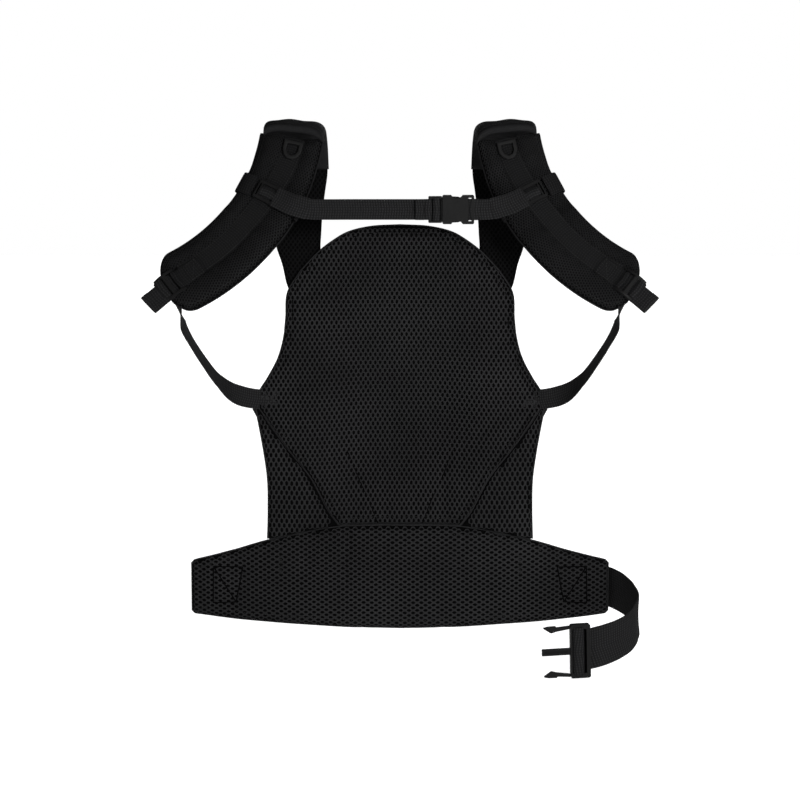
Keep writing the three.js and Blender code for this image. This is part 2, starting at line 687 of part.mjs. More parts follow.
const WAIST_LOOP_TOP = [[254.7, 47.9, 0.3], [264, 37, -2], [272, 24, -5], [280, 6, -10], [286, -13, -21],
  [284, -26, -30], [276, -39, -37.5], [262, -53, -42], [246, -62.5, -45], [226.2, -70.5, -47.5]];
const WAIST_LOOP_BOTTOM = [[254.7, 47.9, -49.5], [265, 37, -51], [275, 24, -55], [284, 6, -61],
  [287, -13, -69],
  [282, -26, -77], [273, -39, -84.5], [260, -52, -91], [245, -61.5, -95.5], [226.2, -69.5, -98.5]];

function buildWaistLoop(parent) {
  const loop = ribbon(vectors(WAIST_LOOP_BOTTOM), vectors(WAIST_LOOP_TOP), WEBBING, 28);
  add(parent, "waist_strap", loop, WEBBING_CLOTH);
}

const SOCKET_TAB = [[-251, 47.3, -24.5], [-252.3, 49.2, -24.5], [-252.4, 52.6, -24.5], [-248, 55.4, -24.5],
  [-238, 55, -24.5], [-222.6, 53, -24.5]];

function buildSocketTab(parent) {
  const across = SOCKET_TAB.map(() => new THREE.Vector3(0, 0, 1));
  const tab = ribbonAlong(vectors(SOCKET_TAB), across, WIDE_WEBBING, WEBBING, 14);
  add(parent, "socket_strap", tab, WEBBING_CLOTH);
}

// Where the chest strap straightens out between the sliders, on the left: x.
const CHEST_BEND_X = -106;
const CHEST_PULL_X = -19.7;
const CHEST_TAIL_X = 18;

// One end of the chest strap, drawn on the left: from the slider's inner side
// to a place on the straight part.
function chestEnd(straight) {
  const slope = padPoint(SLIDER_ANGLE + 0.01, 0, 0).sub(padPoint(SLIDER_ANGLE - 0.01, 0, 0)).normalize();
  const upright = new THREE.Vector3(0, 0, 1);
  const offset = webbingOffset(SLIDER_ANGLE);
  const middle = [
    padPoint(SLIDER_ANGLE, offset + 16.5, 4.4),
    padPoint(SLIDER_ANGLE, offset + 30, 5.6),
    new THREE.Vector3(CHEST_BEND_X, CHEST_DEPTH, CHEST_HEIGHT + 0.6),
    ...straight.map((x) => new THREE.Vector3(x, CHEST_DEPTH, CHEST_HEIGHT)),
  ];
  const across = [slope, slope.clone().lerp(upright, 0.25), upright, ...straight.map(() => upright)];
  return ribbonAlong(middle, across, NARROW_WEBBING - 1, WEBBING, 16);
}

function buildChestWebbing(parent) {
  const socketEnd = -(CHEST_SOCKET_X + CHEST_SOCKET_LENGTH + GAP);
  add(parent, "left_chest_webbing", chestEnd([-92, -60, -20]), WEBBING_CLOTH);
  add(parent, "right_chest_webbing", mirrored(chestEnd([socketEnd]), -1, 1, 1), WEBBING_CLOTH);
  const half = (NARROW_WEBBING - 1) / 2;
  const front = CHEST_DEPTH - WEBBING / 2;
  const end = CHEST_PLUG_X - GAP;
  const pull = block(CHEST_PULL_X, end, front, front + WEBBING, CHEST_HEIGHT - half, CHEST_HEIGHT + half);
  const tailBack = front - GAP;
  const tailFront = tailBack - WEBBING;
  const tail = block(CHEST_TAIL_X, end, tailFront, tailBack, CHEST_HEIGHT - half, CHEST_HEIGHT + half);
  add(parent, "chest_pull_webbing", pull, WEBBING_CLOTH);
  add(parent, "chest_tail", tail, WEBBING_CLOTH);
}

buildWaistband(carrier);
buildPanel(carrier);
buildShoulders(carrier);
buildChestBuckle(carrier);
buildChestWebbing(carrier);
buildWaistPlug(carrier);
buildWaistLoop(carrier);
buildWaistSocket(carrier);
buildSocketTab(carrier);

export default carrier;
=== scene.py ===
"""A soft baby carrier in black air mesh, cloth and webbing, dressed around its CAD frame.

Every sub-assembly is a class that holds its sizes in millimetres. Meshes are worked out in
millimetres and written in metres, in the frame of the CAD model: +Z up, the wearer on the -Y side.
"""
import logging
import math
from dataclasses import dataclass, field
from enum import Enum
from typing import Callable, Sequence

import bmesh
import bpy
import numpy as np
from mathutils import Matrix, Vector


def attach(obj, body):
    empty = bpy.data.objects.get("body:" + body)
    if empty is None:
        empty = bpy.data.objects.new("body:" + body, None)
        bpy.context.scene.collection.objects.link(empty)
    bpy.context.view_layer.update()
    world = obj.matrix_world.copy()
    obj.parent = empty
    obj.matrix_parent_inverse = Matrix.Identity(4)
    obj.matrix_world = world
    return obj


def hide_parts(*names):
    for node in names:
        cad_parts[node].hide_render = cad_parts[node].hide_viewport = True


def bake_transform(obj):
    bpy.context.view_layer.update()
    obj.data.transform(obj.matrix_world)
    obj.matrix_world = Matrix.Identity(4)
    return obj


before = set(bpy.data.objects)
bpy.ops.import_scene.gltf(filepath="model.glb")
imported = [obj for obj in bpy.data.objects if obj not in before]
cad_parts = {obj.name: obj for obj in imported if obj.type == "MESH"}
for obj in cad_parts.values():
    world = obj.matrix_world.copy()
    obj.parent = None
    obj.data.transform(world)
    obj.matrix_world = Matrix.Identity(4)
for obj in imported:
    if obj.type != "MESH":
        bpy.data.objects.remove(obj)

logging.basicConfig(level=logging.INFO, format="%(message)s")
log = logging.getLogger("carrier")

MM = 0.001
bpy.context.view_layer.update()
PROUD = (0, 0.1, 0)
DRAWN_LEFT = (("left", 1), ("right", -1))
DRAWN_RIGHT = (("left", -1), ("right", 1))
Array = np.ndarray
Material = bpy.types.Material
Node = bpy.types.Node
Object = bpy.types.Object
Socket = bpy.types.NodeSocket
Line = Sequence[tuple[float, float]]
Route = Sequence[tuple[float, float, float]]
Surface = Callable[[Array, Array], Array]


# ---------------------------------------------------------------- shader maths


class Value:
    """A number that varies over a surface: wraps a node socket and adds Math nodes as it is used."""

    def __init__(self, tree: bpy.types.NodeTree, socket: Socket) -> None:
        """Keeps the tree that the socket belongs to."""
        self.tree = tree
        self.socket = socket

    def _math(self, operation: str, *inputs: "Value | float") -> "Value":
        """Adds one Math node.

        Args:
            operation: the node's operation.
            inputs: its inputs, as values or numbers.

        Returns:
            The node's result.
        """
        node = self.tree.nodes.new("ShaderNodeMath")
        node.operation = operation
        for slot, item in zip(node.inputs, inputs):
            if isinstance(item, Value):
                self.tree.links.new(item.socket, slot)
            else:
                slot.default_value = item
        return Value(self.tree, node.outputs[0])

    def __add__(self, other: "Value | float") -> "Value":
        """Sum."""
        return self._math("ADD", self, other)

    def __radd__(self, other: float) -> "Value":
        """Sum with a number on the left."""
        return self._math("ADD", other, self)

    def __sub__(self, other: "Value | float") -> "Value":
        """Difference."""
        return self._math("SUBTRACT", self, other)

    def __rsub__(self, other: float) -> "Value":
        """Difference with a number on the left."""
        return self._math("SUBTRACT", other, self)

    def __mul__(self, other: "Value | float") -> "Value":
        """Product."""
        return self._math("MULTIPLY", self, other)

    def __rmul__(self, other: float) -> "Value":
        """Product with a number on the left."""
        return self._math("MULTIPLY", other, self)

    def __truediv__(self, other: "Value | float") -> "Value":
        """Quotient."""
        return self._math("DIVIDE", self, other)

    def sine(self) -> "Value":
        """Sine of the value, in radians."""
        return self._math("SINE", self)

    def size(self) -> "Value":
        """Absolute value."""
        return self._math("ABSOLUTE", self)

    def power(self, exponent: float) -> "Value":
        """The value to a power."""
        return self._math("POWER", self, exponent)

    def most(self, other: "Value | float") -> "Value":
        """The larger of the two."""
        return self._math("MAXIMUM", self, other)

    def remainder(self, step: float) -> "Value":
        """What is left past whole steps."""
        return self._math("FLOORED_MODULO", self, step)

    def above(self, edge: float) -> "Value":
        """1 above the edge and 0 below."""
        return self._math("GREATER_THAN", self, edge)


def add_node(tree: bpy.types.NodeTree, kind: str, settings: dict | None, sockets: dict) -> Node:
    """Adds a node to a tree.

    Args:
        tree: the tree.
        kind: the node's type.
        settings: its properties.
        sockets: values or links for its inputs, by name with underscores for spaces.

    Returns:
        The node.
    """
    made = tree.nodes.new(kind)
    for key, item in (settings or {}).items():
        setattr(made, key, item)
    for key, item in sockets.items():
        slot = made.inputs[key.replace("_", " ")]
        source = item.socket if isinstance(item, Value) else item
        if isinstance(source, Socket):
            tree.links.new(source, slot)
        else:
            slot.default_value = source
    return made


def grey(shade: float, share: float, blue: float | None = None) -> tuple[float, float, float]:
    """A share of a dark shade, with a share of its own for blue if the grey is a cool one."""
    return shade * share, shade * share, shade * (share if blue is None else blue)


class Coordinates(Enum):
    """Where a finish reads its pattern."""

    PLACE = "Object"
    CLOTH = "UV"


class Painter:
    """One material's node tree, with one method for its nodes and one for its shader."""

    def __init__(self, name: str) -> None:
        """Starts an empty material with a Principled shader."""
        self.material = bpy.data.materials.new(name)
        self.material.use_nodes = True
        self.tree = self.material.node_tree
        self.shader = self.tree.nodes["Principled BSDF"]

    def node(self, kind: str, settings: dict | None = None, **sockets: object) -> Node:
        """Adds a node to the material."""
        return add_node(self.tree, kind, settings, sockets)

    def place(self, kind: Coordinates) -> tuple[Socket, Value, Value, Value]:
        """The coordinates, whole and split, of a pattern.

        Args:
            kind: object space in metres, or the piece's own cloth map in metres.

        Returns:
            The vector socket, and its three parts as values.
        """
        source = self.node("ShaderNodeTexCoord").outputs[kind.value]
        split = self.node("ShaderNodeSeparateXYZ", Vector=source)
        parts = [Value(self.tree, split.outputs[i]) for i in range(3)]
        return source, parts[0], parts[1], parts[2]

    def noise(self, source: Socket, scale: float, detail: float = 2.0) -> Value:
        """Smooth noise of about 0 to 1.

        Args:
            source: the coordinates.
            scale: bumps to a metre.
            detail: layers of finer noise.

        Returns:
            The noise.
        """
        made = self.node("ShaderNodeTexNoise", Vector=source, Scale=scale, Detail=detail)
        return Value(self.tree, made.outputs[0])

    def blend(self, factor: Value, dark: Sequence[float], light: Sequence[float]) -> Socket:
        """A colour between two.

        Args:
            factor: 0 for the first colour, 1 for the second.
            dark: the first colour.
            light: the second colour.

        Returns:
            The colour socket.
        """
        mix = self.tree.nodes.new("ShaderNodeMix")
        mix.data_type = "RGBA"
        mix.clamp_factor = True
        self.tree.links.new(factor.socket, mix.inputs[0])
        mix.inputs[6].default_value = (*dark, 1)
        mix.inputs[7].default_value = (*light, 1)
        return mix.outputs[2]

    def finish(self, colour: object, roughness: object, height: Value | None = None,
               distance: float = 0.0002, **fixed: float) -> Material:
        """Links the shader.

        Args:
            colour: base colour socket or three numbers.
            roughness: a value or a number.
            height: bump height of 0 to 1, if any.
            distance: depth of the bump in metres.
            fixed: other shader inputs by name, as plain numbers.

        Returns:
            The material.
        """
        base = self.shader.inputs["Base Color"]
        if isinstance(colour, Socket):
            self.tree.links.new(colour, base)
        else:
            base.default_value = (*colour, 1)
        if isinstance(roughness, Value):
            self.tree.links.new(roughness.socket, self.shader.inputs["Roughness"])
        else:
            self.shader.inputs["Roughness"].default_value = roughness
        if height is not None:
            bump = self.node("ShaderNodeBump", Height=height, Distance=distance, Strength=1.0)
            self.tree.links.new(bump.outputs[0], self.shader.inputs["Normal"])
        for key, item in fixed.items():
            self.shader.inputs[key.replace("_", " ")].default_value = item
        return self.material


@dataclass(frozen=True)
class KnitFinish:
    """The threads of the air mesh: fine knitted loops with a soft sheen, and broad random patches of painted
    light and shade.
    """

    name: str = "air mesh knit"
    shade: float = 0.0135
    loop: float = 0.0007

    def make(self) -> Material:
        """Builds the material."""
        paint = Painter(self.name)
        source, x, y, z = paint.place(Coordinates.PLACE)
        rise = 2 * math.pi / (self.loop * 1.4)
        loops = (x * (2 * math.pi / self.loop)).sine() * ((z + y * 0.5) * rise).sine()
        cloud = paint.noise(source, 90)
        # slow: broad patches of painted light and shade on the knit, placed at random
        slow = paint.noise(source, 11, 1.0)
        tone = cloud * 0.5 + loops * 0.25 + slow * 1.2 - 0.2
        light = grey(self.shade, 1.35, 1.4)
        dark = grey(self.shade, 0.6, 0.62)
        rough = cloud * 0.16 + 0.72
        return paint.finish(paint.blend(tone, dark, light), rough, loops * 0.5 + 0.5, 0.00018,
                            Specular_IOR_Level=0.03)


@dataclass(frozen=True)
class HoleShadeFinish:
    """The spacer yarns and back face seen down the holes of the air mesh, painted far darker than the knit:
    painted shade in the holes and under the knit's borders.
    """

    shade: float = 0.0012

    def make(self) -> Material:
        """Builds the material."""
        paint = Painter("air mesh hole shade")
        source, _, _, _ = paint.place(Coordinates.PLACE)
        cloud = paint.noise(source, 1400, 1.0)
        colour = paint.blend(cloud, grey(self.shade, 0.4), grey(self.shade, 1.8, 1.9))
        return paint.finish(colour, 0.95, cloud, 0.0003, Specular_IOR_Level=0.02)


@dataclass(frozen=True)
class ClothFinish:
    """Plain woven cloth: a fine over-and-under weave with slow changes of tone."""

    name: str = "plain cloth"
    shade: float = 0.0094
    thread: float = 0.0006

    def make(self) -> Material:
        """Builds the material."""
        paint = Painter(self.name)
        source, x, y, z = paint.place(Coordinates.PLACE)
        turn = 2 * math.pi / self.thread
        weave = ((x + y * 0.4) * turn).sine() * ((z + y * 0.6) * turn).sine()
        slub = paint.noise(source, 260, 3.0)
        tone = slub * 0.6 + weave * 0.2 + 0.25
        dark = grey(self.shade, 0.6, 0.63)
        light = grey(self.shade, 1.4, 1.45)
        return paint.finish(paint.blend(tone, dark, light), slub * 0.15 + 0.7, weave * 0.4 + slub * 0.6,
                            0.00016, Specular_IOR_Level=0.03)


@dataclass(frozen=True)
class WebbingFinish:
    """Woven webbing: ribs across the strap, a chevron of warp threads and firm selvedges."""

    name: str = "webbing"
    shade: float = 0.0090
    rib: float = 0.0032
    warp: float = 0.0030

    def make(self) -> Material:
        """Builds the material. The cloth map's x runs across the strap and y along it, in metres."""
        paint = Painter(self.name)
        _, across, along, _ = paint.place(Coordinates.CLOTH)
        lean = (across / self.warp).size()
        ribs = ((along * (2 * math.pi / self.rib)) + lean * 0.9).sine()
        warps = (across * (2 * math.pi / self.warp)).sine()
        weave = ribs * 0.6 + warps * 0.4 + ribs * warps * 0.5
        fuzz = paint.noise(paint.node("ShaderNodeTexCoord").outputs["Object"], 420, 3.0)
        tone = weave * 0.42 + fuzz * 0.4 + 0.3
        dark = grey(self.shade, 0.25, 0.26)
        light = grey(self.shade, 1.8, 1.86)
        return paint.finish(paint.blend(tone, dark, light), fuzz * 0.14 + 0.74, weave * 0.3 + 0.5, 0.00030,
                            Specular_IOR_Level=0.03)


@dataclass(frozen=True)
class PlasticFinish:
    """Moulded acetal: satin black with a fine spark texture and lightly rubbed patches."""

    name: str = "moulded plastic"
    shade: float = 0.0048

    def make(self) -> Material:
        """Builds the material."""
        paint = Painter(self.name)
        source, _, _, _ = paint.place(Coordinates.PLACE)
        spark = paint.noise(source, 2600, 2.0)
        rubbed = paint.noise(source, 70, 2.0)
        colour = paint.blend(rubbed, grey(self.shade, 0.8, 0.83), grey(self.shade, 1.5))
        return paint.finish(colour, rubbed * 0.18 + 0.42, spark, 0.00004, Specular_IOR_Level=0.06)


@dataclass(frozen=True)
class RubberFinish:
    """Soft moulded rubber: matt, with a dusty bloom."""

    shade: float = 0.005

    def make(self) -> Material:
        """Builds the material."""
        paint = Painter("soft rubber")
        source, _, _, _ = paint.place(Coordinates.PLACE)
        bloom = paint.noise(source, 500, 3.0)
        colour = paint.blend(bloom, grey(self.shade, 0.7), grey(self.shade, 1.5))
        return paint.finish(colour, bloom * 0.2 + 0.5, bloom, 0.00005, Specular_IOR_Level=0.12)


@dataclass(frozen=True)
class ThreadFinish:
    """Sewing thread: twisted plies with a small shine."""

    shade: float = 0.011

    def make(self) -> Material:
        """Builds the material."""
        paint = Painter("sewing thread")
        source, x, y, z = paint.place(Coordinates.PLACE)
        twist = ((x + y + z) * (2 * math.pi / 0.0005)).sine()
        fuzz = paint.noise(source, 900, 1.0)
        colour = paint.blend(fuzz, grey(self.shade, 0.6), grey(self.shade, 1.4))
        return paint.finish(colour, 0.55, twist * 0.5 + 0.5, 0.00005, Specular_IOR_Level=0.12)


@dataclass(frozen=True)
class FloorFinish:
    """A white studio floor with a faint gloss, lit a little from beneath."""

    glow: float = 0.70

    def make(self) -> Material:
        """Builds the material."""
        paint = Painter("studio floor")
        paint.shader.inputs["Emission Color"].default_value = (1, 1, 1, 1)
        return paint.finish((0.84, 0.84, 0.84), 0.24, Specular_IOR_Level=0.5, Emission_Strength=self.glow)


# ---------------------------------------------------------------- mesh helpers


def mesh_object(name: str, points: Array, faces: Sequence[Sequence[int]], *materials: Material,
                smooth_angle: float = 50.0) -> Object:
    """Makes an object from points in millimetres.

    Args:
        name: the piece's name.
        points: one row to a point.
        faces: point numbers of each face.
        materials: the piece's finishes.
        smooth_angle: edges sharper than this, in degrees, stay sharp.

    Returns:
        The object, linked to the scene.
    """
    mesh = bpy.data.meshes.new(name)
    mesh.from_pydata((np.asarray(points) * MM).tolist(), [], [list(map(int, f)) for f in faces])
    mesh.update()
    for material in materials:
        mesh.materials.append(material)
    made = bpy.data.objects.new(name, mesh)
    bpy.context.scene.collection.objects.link(made)
    soften_shading(made, smooth_angle)
    return made


def soften_shading(made: Object, angle: float) -> None:
    """Shades a piece smooth, with edges sharper than the angle in degrees kept crisp."""
    made.data.shade_smooth()
    made.data.set_sharp_from_angle(angle=math.radians(angle))


def grid_faces(rows: int, columns: int, flip: bool = False) -> list[tuple[int, int, int, int]]:
    """Faces of a grid stored row by row.

    Args:
        rows: number of rows of points.
        columns: number of points in a row.
        flip: winds the faces the other way.

    Returns:
        Four point numbers to a face.
    """
    faces = []
    for i in range(rows - 1):
        for j in range(columns - 1):
            a = i * columns + j
            quad = (a, a + 1, a + columns + 1, a + columns)
            faces.append(quad[::-1] if flip else quad)
    return faces


def pillow(name: str, front: Array, back: Array, *materials: Material,
           smooth_angle: float = 60.0) -> Object:
    """A closed body from a front and a back grid with their borders joined.

    Args:
        name: the piece's name.
        front: grid of points, rows by columns by 3, whose faces point out when wound along rows first.
        back: the matching grid behind it.
        materials: front finish, then the finish of the back.
        smooth_angle: edges sharper than this stay sharp.

    Returns:
        The object.
    """
    rows, columns = front.shape[:2]
    points = np.concatenate([front.reshape(-1, 3), back.reshape(-1, 3)])
    shift = rows * columns
    front_faces = grid_faces(rows, columns)
    back_faces = [tuple(n + shift for n in quad) for quad in grid_faces(rows, columns, True)]
    ring = list(range(columns))
    ring += [i * columns + columns - 1 for i in range(1, rows)]
    ring += [(rows - 1) * columns + j for j in range(columns - 2, -1, -1)]
    ring += [i * columns for i in range(rows - 2, 0, -1)]
    walls = [(a + shift, b + shift, b, a) for a, b in zip(ring, ring[1:] + ring[:1])]
    made = mesh_object(name, points, front_faces + back_faces + walls, *materials, smooth_angle=smooth_angle)
    if len(materials) > 1:
        for number in range(len(front_faces), len(front_faces) + len(back_faces)):
            made.data.polygons[number].material_index = 1
    tidy_mesh(made)
    return made


def piping(name: str, line: Array, radius: float, finish: Material, loop: bool = False) -> Object:
    """A round cord sewn along a line: the piping of a border or the ridge of a seam.

    Args:
        name: the piece's name.
        line: points along it, in millimetres.
        radius: its radius.
        finish: its finish.
        loop: joins its ends.

    Returns:
        The piece, a closed mesh.
    """
    along = unit(np.roll(line, -1, axis=0) - np.roll(line, 1, axis=0) if loop else np.gradient(line, axis=0))
    side = unit(np.cross(along, [0.0, 1.0, 0.0]))
    sides = 8
    turn = np.linspace(0, 2 * np.pi, sides, endpoint=False)
    rings = line[:, None] + radius * (side[:, None] * np.cos(turn)[None, :, None]
                                      + np.cross(side, along)[:, None] * np.sin(turn)[None, :, None])
    count = len(line)
    faces = []
    for i in range(count if loop else count - 1):
        near, far = i * sides, (i + 1) % count * sides
        faces += [(near + j, near + (j + 1) % sides, far + (j + 1) % sides, far + j) for j in range(sides)]
    if not loop:
        faces += [tuple(range(sides)), tuple(range((count - 1) * sides, count * sides))]
    made = mesh_object(name, rings.reshape(-1, 3), faces, finish, smooth_angle=60)
    tidy_mesh(made)
    return made


def tidy_mesh(made: Object) -> None:
    """Merges doubled points and turns every face outwards, on a closed mesh."""
    work = bmesh.new()
    work.from_mesh(made.data)
    bmesh.ops.remove_doubles(work, verts=work.verts, dist=0.001 * MM)
    bmesh.ops.recalc_face_normals(work, faces=work.faces)
    work.to_mesh(made.data)
    work.free()


def apply_modifiers(made: Object) -> Object:
    """Turns an object's modifiers into plain mesh."""
    bpy.context.view_layer.update()
    result = made.evaluated_get(bpy.context.evaluated_depsgraph_get())
    mesh = bpy.data.meshes.new_from_object(result)
    made.modifiers.clear()
    made.data = mesh
    mesh.name = made.name
    return made


def distances(line: Array) -> Array:
    """How far along a line each of its points lies."""
    return np.concatenate([[0], np.cumsum(np.linalg.norm(np.diff(line, axis=0), axis=1))])


def closed_line(outline: Array) -> Array:
    """An outline with its first point again at its end."""
    return np.vstack([outline, outline[:1]])


def grid_border(x: Array, z: Array) -> Array:
    """The border of a grid of flat places: along its first row and round."""
    legs = [(x[0], z[0]), (x[:, -1], z[:, -1]), (x[-1, ::-1], z[-1, ::-1]), (x[::-1, 0], z[::-1, 0])]
    return np.vstack([np.stack(leg, 1)[:-1] for leg in legs])


def inset_line(outline: Array, distance: float) -> Array:
    """Each point of an anticlockwise outline, moved inwards."""
    leg = np.roll(outline, -1, axis=0) - outline
    return outline + unit(np.stack([-leg[:, 1], leg[:, 0]], 1)) * distance


def smooth_path(points: Sequence[Sequence[float]], count: int) -> Array:
    """Points evenly spaced along a centripetal Catmull-Rom curve.

    Args:
        points: points on the curve.
        count: how many points to give back.

    Returns:
        One row to a point.
    """
    known = np.asarray(points, float)
    padded = np.vstack([2 * known[0] - known[1], known, 2 * known[-1] - known[-2]])
    fine = []
    for k in range(len(known) - 1):
        a, b, c, d = padded[k:k + 4]
        t1, t2, t3 = np.cumsum([max(np.linalg.norm(q - p), 1e-6) ** 0.5 for p, q in ((a, b), (b, c), (c, d))])
        t = np.linspace(t1, t2, 24, endpoint=False)[:, None]
        ab = (a * (t1 - t) + b * t) / t1
        bc = (b * (t2 - t) + c * (t - t1)) / (t2 - t1)
        cd = (c * (t3 - t) + d * (t - t2)) / (t3 - t2)
        abc = (ab * (t2 - t) + bc * t) / t2
        bcd = (bc * (t3 - t) + cd * (t - t1)) / (t3 - t1)
        fine.append((abc * (t2 - t) + bcd * (t - t1)) / (t2 - t1))
    fine.append(known[-1:])
    line = np.vstack(fine)
    reach = distances(line)
    marks = np.linspace(0, reach[-1], count)
    return np.stack([np.interp(marks, reach, line[:, i]) for i in range(line.shape[1])], axis=1)


def ease(x: Array, low: float, high: float) -> Array:
    """Smooth step from 0 at low to 1 at high."""
    t = np.clip((np.asarray(x, float) - low) / (high - low), 0, 1)
    return t * t * (3 - 2 * t)


def unit(v: Array) -> Array:
    """Rows scaled to length 1."""
    return v / np.maximum(np.linalg.norm(v, axis=-1, keepdims=True), 1e-9)


def near_line(p: Array, q: Array, line: Array) -> Array:
    """Distance from each place to a line of points in the same plane.

    Args:
        p: first coordinates of the places.
        q: their second coordinates.
        line: points of the line, one to a row.

    Returns:
        The distances.
    """
    a, b = line[:-1], line[1:]
    ab = b - a
    shape = np.shape(p)
    spot = np.stack([np.ravel(p), np.ravel(q)], axis=1)[:, None, :]
    t = np.clip(((spot - a) * ab).sum(2) / np.maximum((ab * ab).sum(1), 1e-9), 0, 1)
    gap = np.linalg.norm(spot - (a + ab * t[..., None]), axis=2)
    return gap.min(1).reshape(shape)


def inside_outline(p: Array, q: Array, outline: Array) -> Array:
    """True for each place inside a closed outline."""
    x, y = np.ravel(p)[:, None], np.ravel(q)[:, None]
    ax, ay = outline[:, 0], outline[:, 1]
    bx, by = np.roll(ax, -1), np.roll(ay, -1)
    crosses = (ay > y) != (by > y)
    at = ax + (y - ay) * (bx - ax) / np.where(by == ay, 1e-9, by - ay)
    return ((crosses & (x < at)).sum(1) % 2 == 1).reshape(np.shape(p))


def flat_area(outline: Array) -> float:
    """Area inside a closed outline in millimetres, in square metres."""
    x, y = outline[:, 0], outline[:, 1]
    return float(abs((x * np.roll(y, -1) - np.roll(x, -1) * y).sum()) / 2 * MM * MM)


def round_off(edge: Array, radius: float, depth: float) -> Array:
    """How far a surface falls near its border: depth at the border, 0 from radius inwards."""
    t = 1 - np.clip(edge / radius, 0, 1)
    return depth * (1 - np.sqrt(np.maximum(1 - t * t, 0)))


@dataclass
class Piece:
    """A finished piece and how it is held: its body, the nodes it stands for and its slot.

    A piece that runs between two bodies also has a far body, and the places in millimetres where
    it leaves the first and reaches the second.
    """

    made: Object
    body: str = "root"
    nodes: Sequence[str] = ()
    slot: str = ""
    far: str = ""
    start: Sequence[float] = ()
    end: Sequence[float] = ()

    def place(self) -> Object:
        """Fixes the piece to its body, or bakes its place into its points if it has a far body; hides the CAD
        nodes it stands for and reports it.
        """
        if self.far:
            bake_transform(self.made)
        else:
            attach(self.made, self.body)
        if self.nodes:
            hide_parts(*self.nodes)
        log.info("%-34s %7d faces on %s", self.made.name, len(self.made.data.polygons), self.body)
        return self.made


# ---------------------------------------------------------------- builders for repeated and soft pieces


@dataclass
class NodeTree:
    """A Geometry Nodes tree written node by node, with named inputs that are set on the modifier."""

    name: str
    tree: bpy.types.NodeTree = field(init=False)
    entry: Node = field(init=False)
    leave: Node = field(init=False)

    def __post_init__(self) -> None:
        """Starts the tree with a geometry input and output."""
        self.tree = bpy.data.node_groups.new(self.name, "GeometryNodeTree")
        self.tree.interface.new_socket("Geometry", in_out="INPUT", socket_type="NodeSocketGeometry")
        self.tree.interface.new_socket("Geometry", in_out="OUTPUT", socket_type="NodeSocketGeometry")
        self.entry = self.tree.nodes.new("NodeGroupInput")
        self.leave = self.tree.nodes.new("NodeGroupOutput")

    def number(self, name: str, kind: str = "NodeSocketFloat") -> None:
        """Adds a named input of the given socket type."""
        self.tree.interface.new_socket(name, in_out="INPUT", socket_type=kind)

    def node(self, kind: str, settings: dict | None = None, **sockets: object) -> Node:
        """Adds a node to the tree."""
        return add_node(self.tree, kind, settings, sockets)

    def close(self, geometry: Socket) -> None:
        """Ends the tree: realises the instances and sets the finish from the input named Finish."""
        real = self.node("GeometryNodeRealizeInstances", Geometry=geometry)
        coat = self.node("GeometryNodeSetMaterial", Geometry=real.outputs[0],
                         Material=self.entry.outputs["Finish"])
        self.tree.links.new(coat.outputs[0], self.leave.inputs[0])

    def run(self, made: Object, **values: object) -> Object:
        """Puts the tree on an object, sets its inputs and turns the result into plain mesh.

        Args:
            made: the object.
            values: the named inputs, with underscores for spaces.

        Returns:
            The object.
        """
        modifier = made.modifiers.new(self.name, "NODES")
        modifier.node_group = self.tree
        inputs = [item for item in self.tree.interface.items_tree if item.in_out == "INPUT"]
        named = {item.name: item.identifier for item in inputs}
        for key, item in values.items():
            modifier[named[key.replace("_", " ")]] = item
        return apply_modifiers(made)


class Perforator(NodeTree):
    """Turns a sheet of cells into a net: each cell becomes a ring round a sunken hole."""

    def __init__(self) -> None:
        """Builds the tree."""
        super().__init__("Perforations")
        for name in ("Sink", "Hole size", "Hole narrowing"):
            self.number(name)
        self.number("Narrow axis", "NodeSocketVector")
        self.number("Finish", "NodeSocketMaterial")
        start = self.entry.outputs
        ring = self.node("GeometryNodeExtrudeMesh", {"mode": "FACES"}, Mesh=start["Geometry"],
                         Offset_Scale=start["Sink"], Individual=True)
        small = self.node("GeometryNodeScaleElements", {"domain": "FACE", "scale_mode": "UNIFORM"},
                          Geometry=ring.outputs["Mesh"], Selection=ring.outputs["Top"],
                          Scale=start["Hole size"])
        oval = self.node("GeometryNodeScaleElements", {"domain": "FACE", "scale_mode": "SINGLE_AXIS"},
                         Geometry=small.outputs[0], Selection=ring.outputs["Top"],
                         Scale=start["Hole narrowing"], Axis=start["Narrow axis"])
        open_net = self.node("GeometryNodeDeleteGeometry", {"domain": "FACE", "mode": "ONLY_FACE"},
                             Geometry=oval.outputs[0], Selection=ring.outputs["Top"])
        self.close(open_net.outputs[0])


class Stitcher(NodeTree):
    """Lays a stitch every few millimetres along the lines of a wire mesh."""

    def __init__(self) -> None:
        """Builds the tree."""
        super().__init__("Stitches")
        for name in ("Pitch", "Length", "Width"):
            self.number(name)
        self.number("Finish", "NodeSocketMaterial")
        start = self.entry.outputs
        lines = self.node("GeometryNodeMeshToCurve", Mesh=start["Geometry"])
        spaced = self.node("GeometryNodeResampleCurve", {"mode": "LENGTH"}, Curve=lines.outputs[0],
                           Length=start["Pitch"])
        tangent = self.node("GeometryNodeInputTangent")
        turn = self.node("FunctionNodeAlignRotationToVector", {"axis": "X"}, Vector=tangent.outputs[0])
        bead = self.node("GeometryNodeMeshUVSphere", Segments=6, Rings=5, Radius=0.5)
        size = self.node("ShaderNodeCombineXYZ", X=start["Length"], Y=start["Width"], Z=start["Width"])
        laid = self.node("GeometryNodeInstanceOnPoints", Points=spaced.outputs[0],
                         Instance=bead.outputs["Mesh"], Rotation=turn.outputs[0], Scale=size.outputs[0])
        self.close(laid.outputs[0])


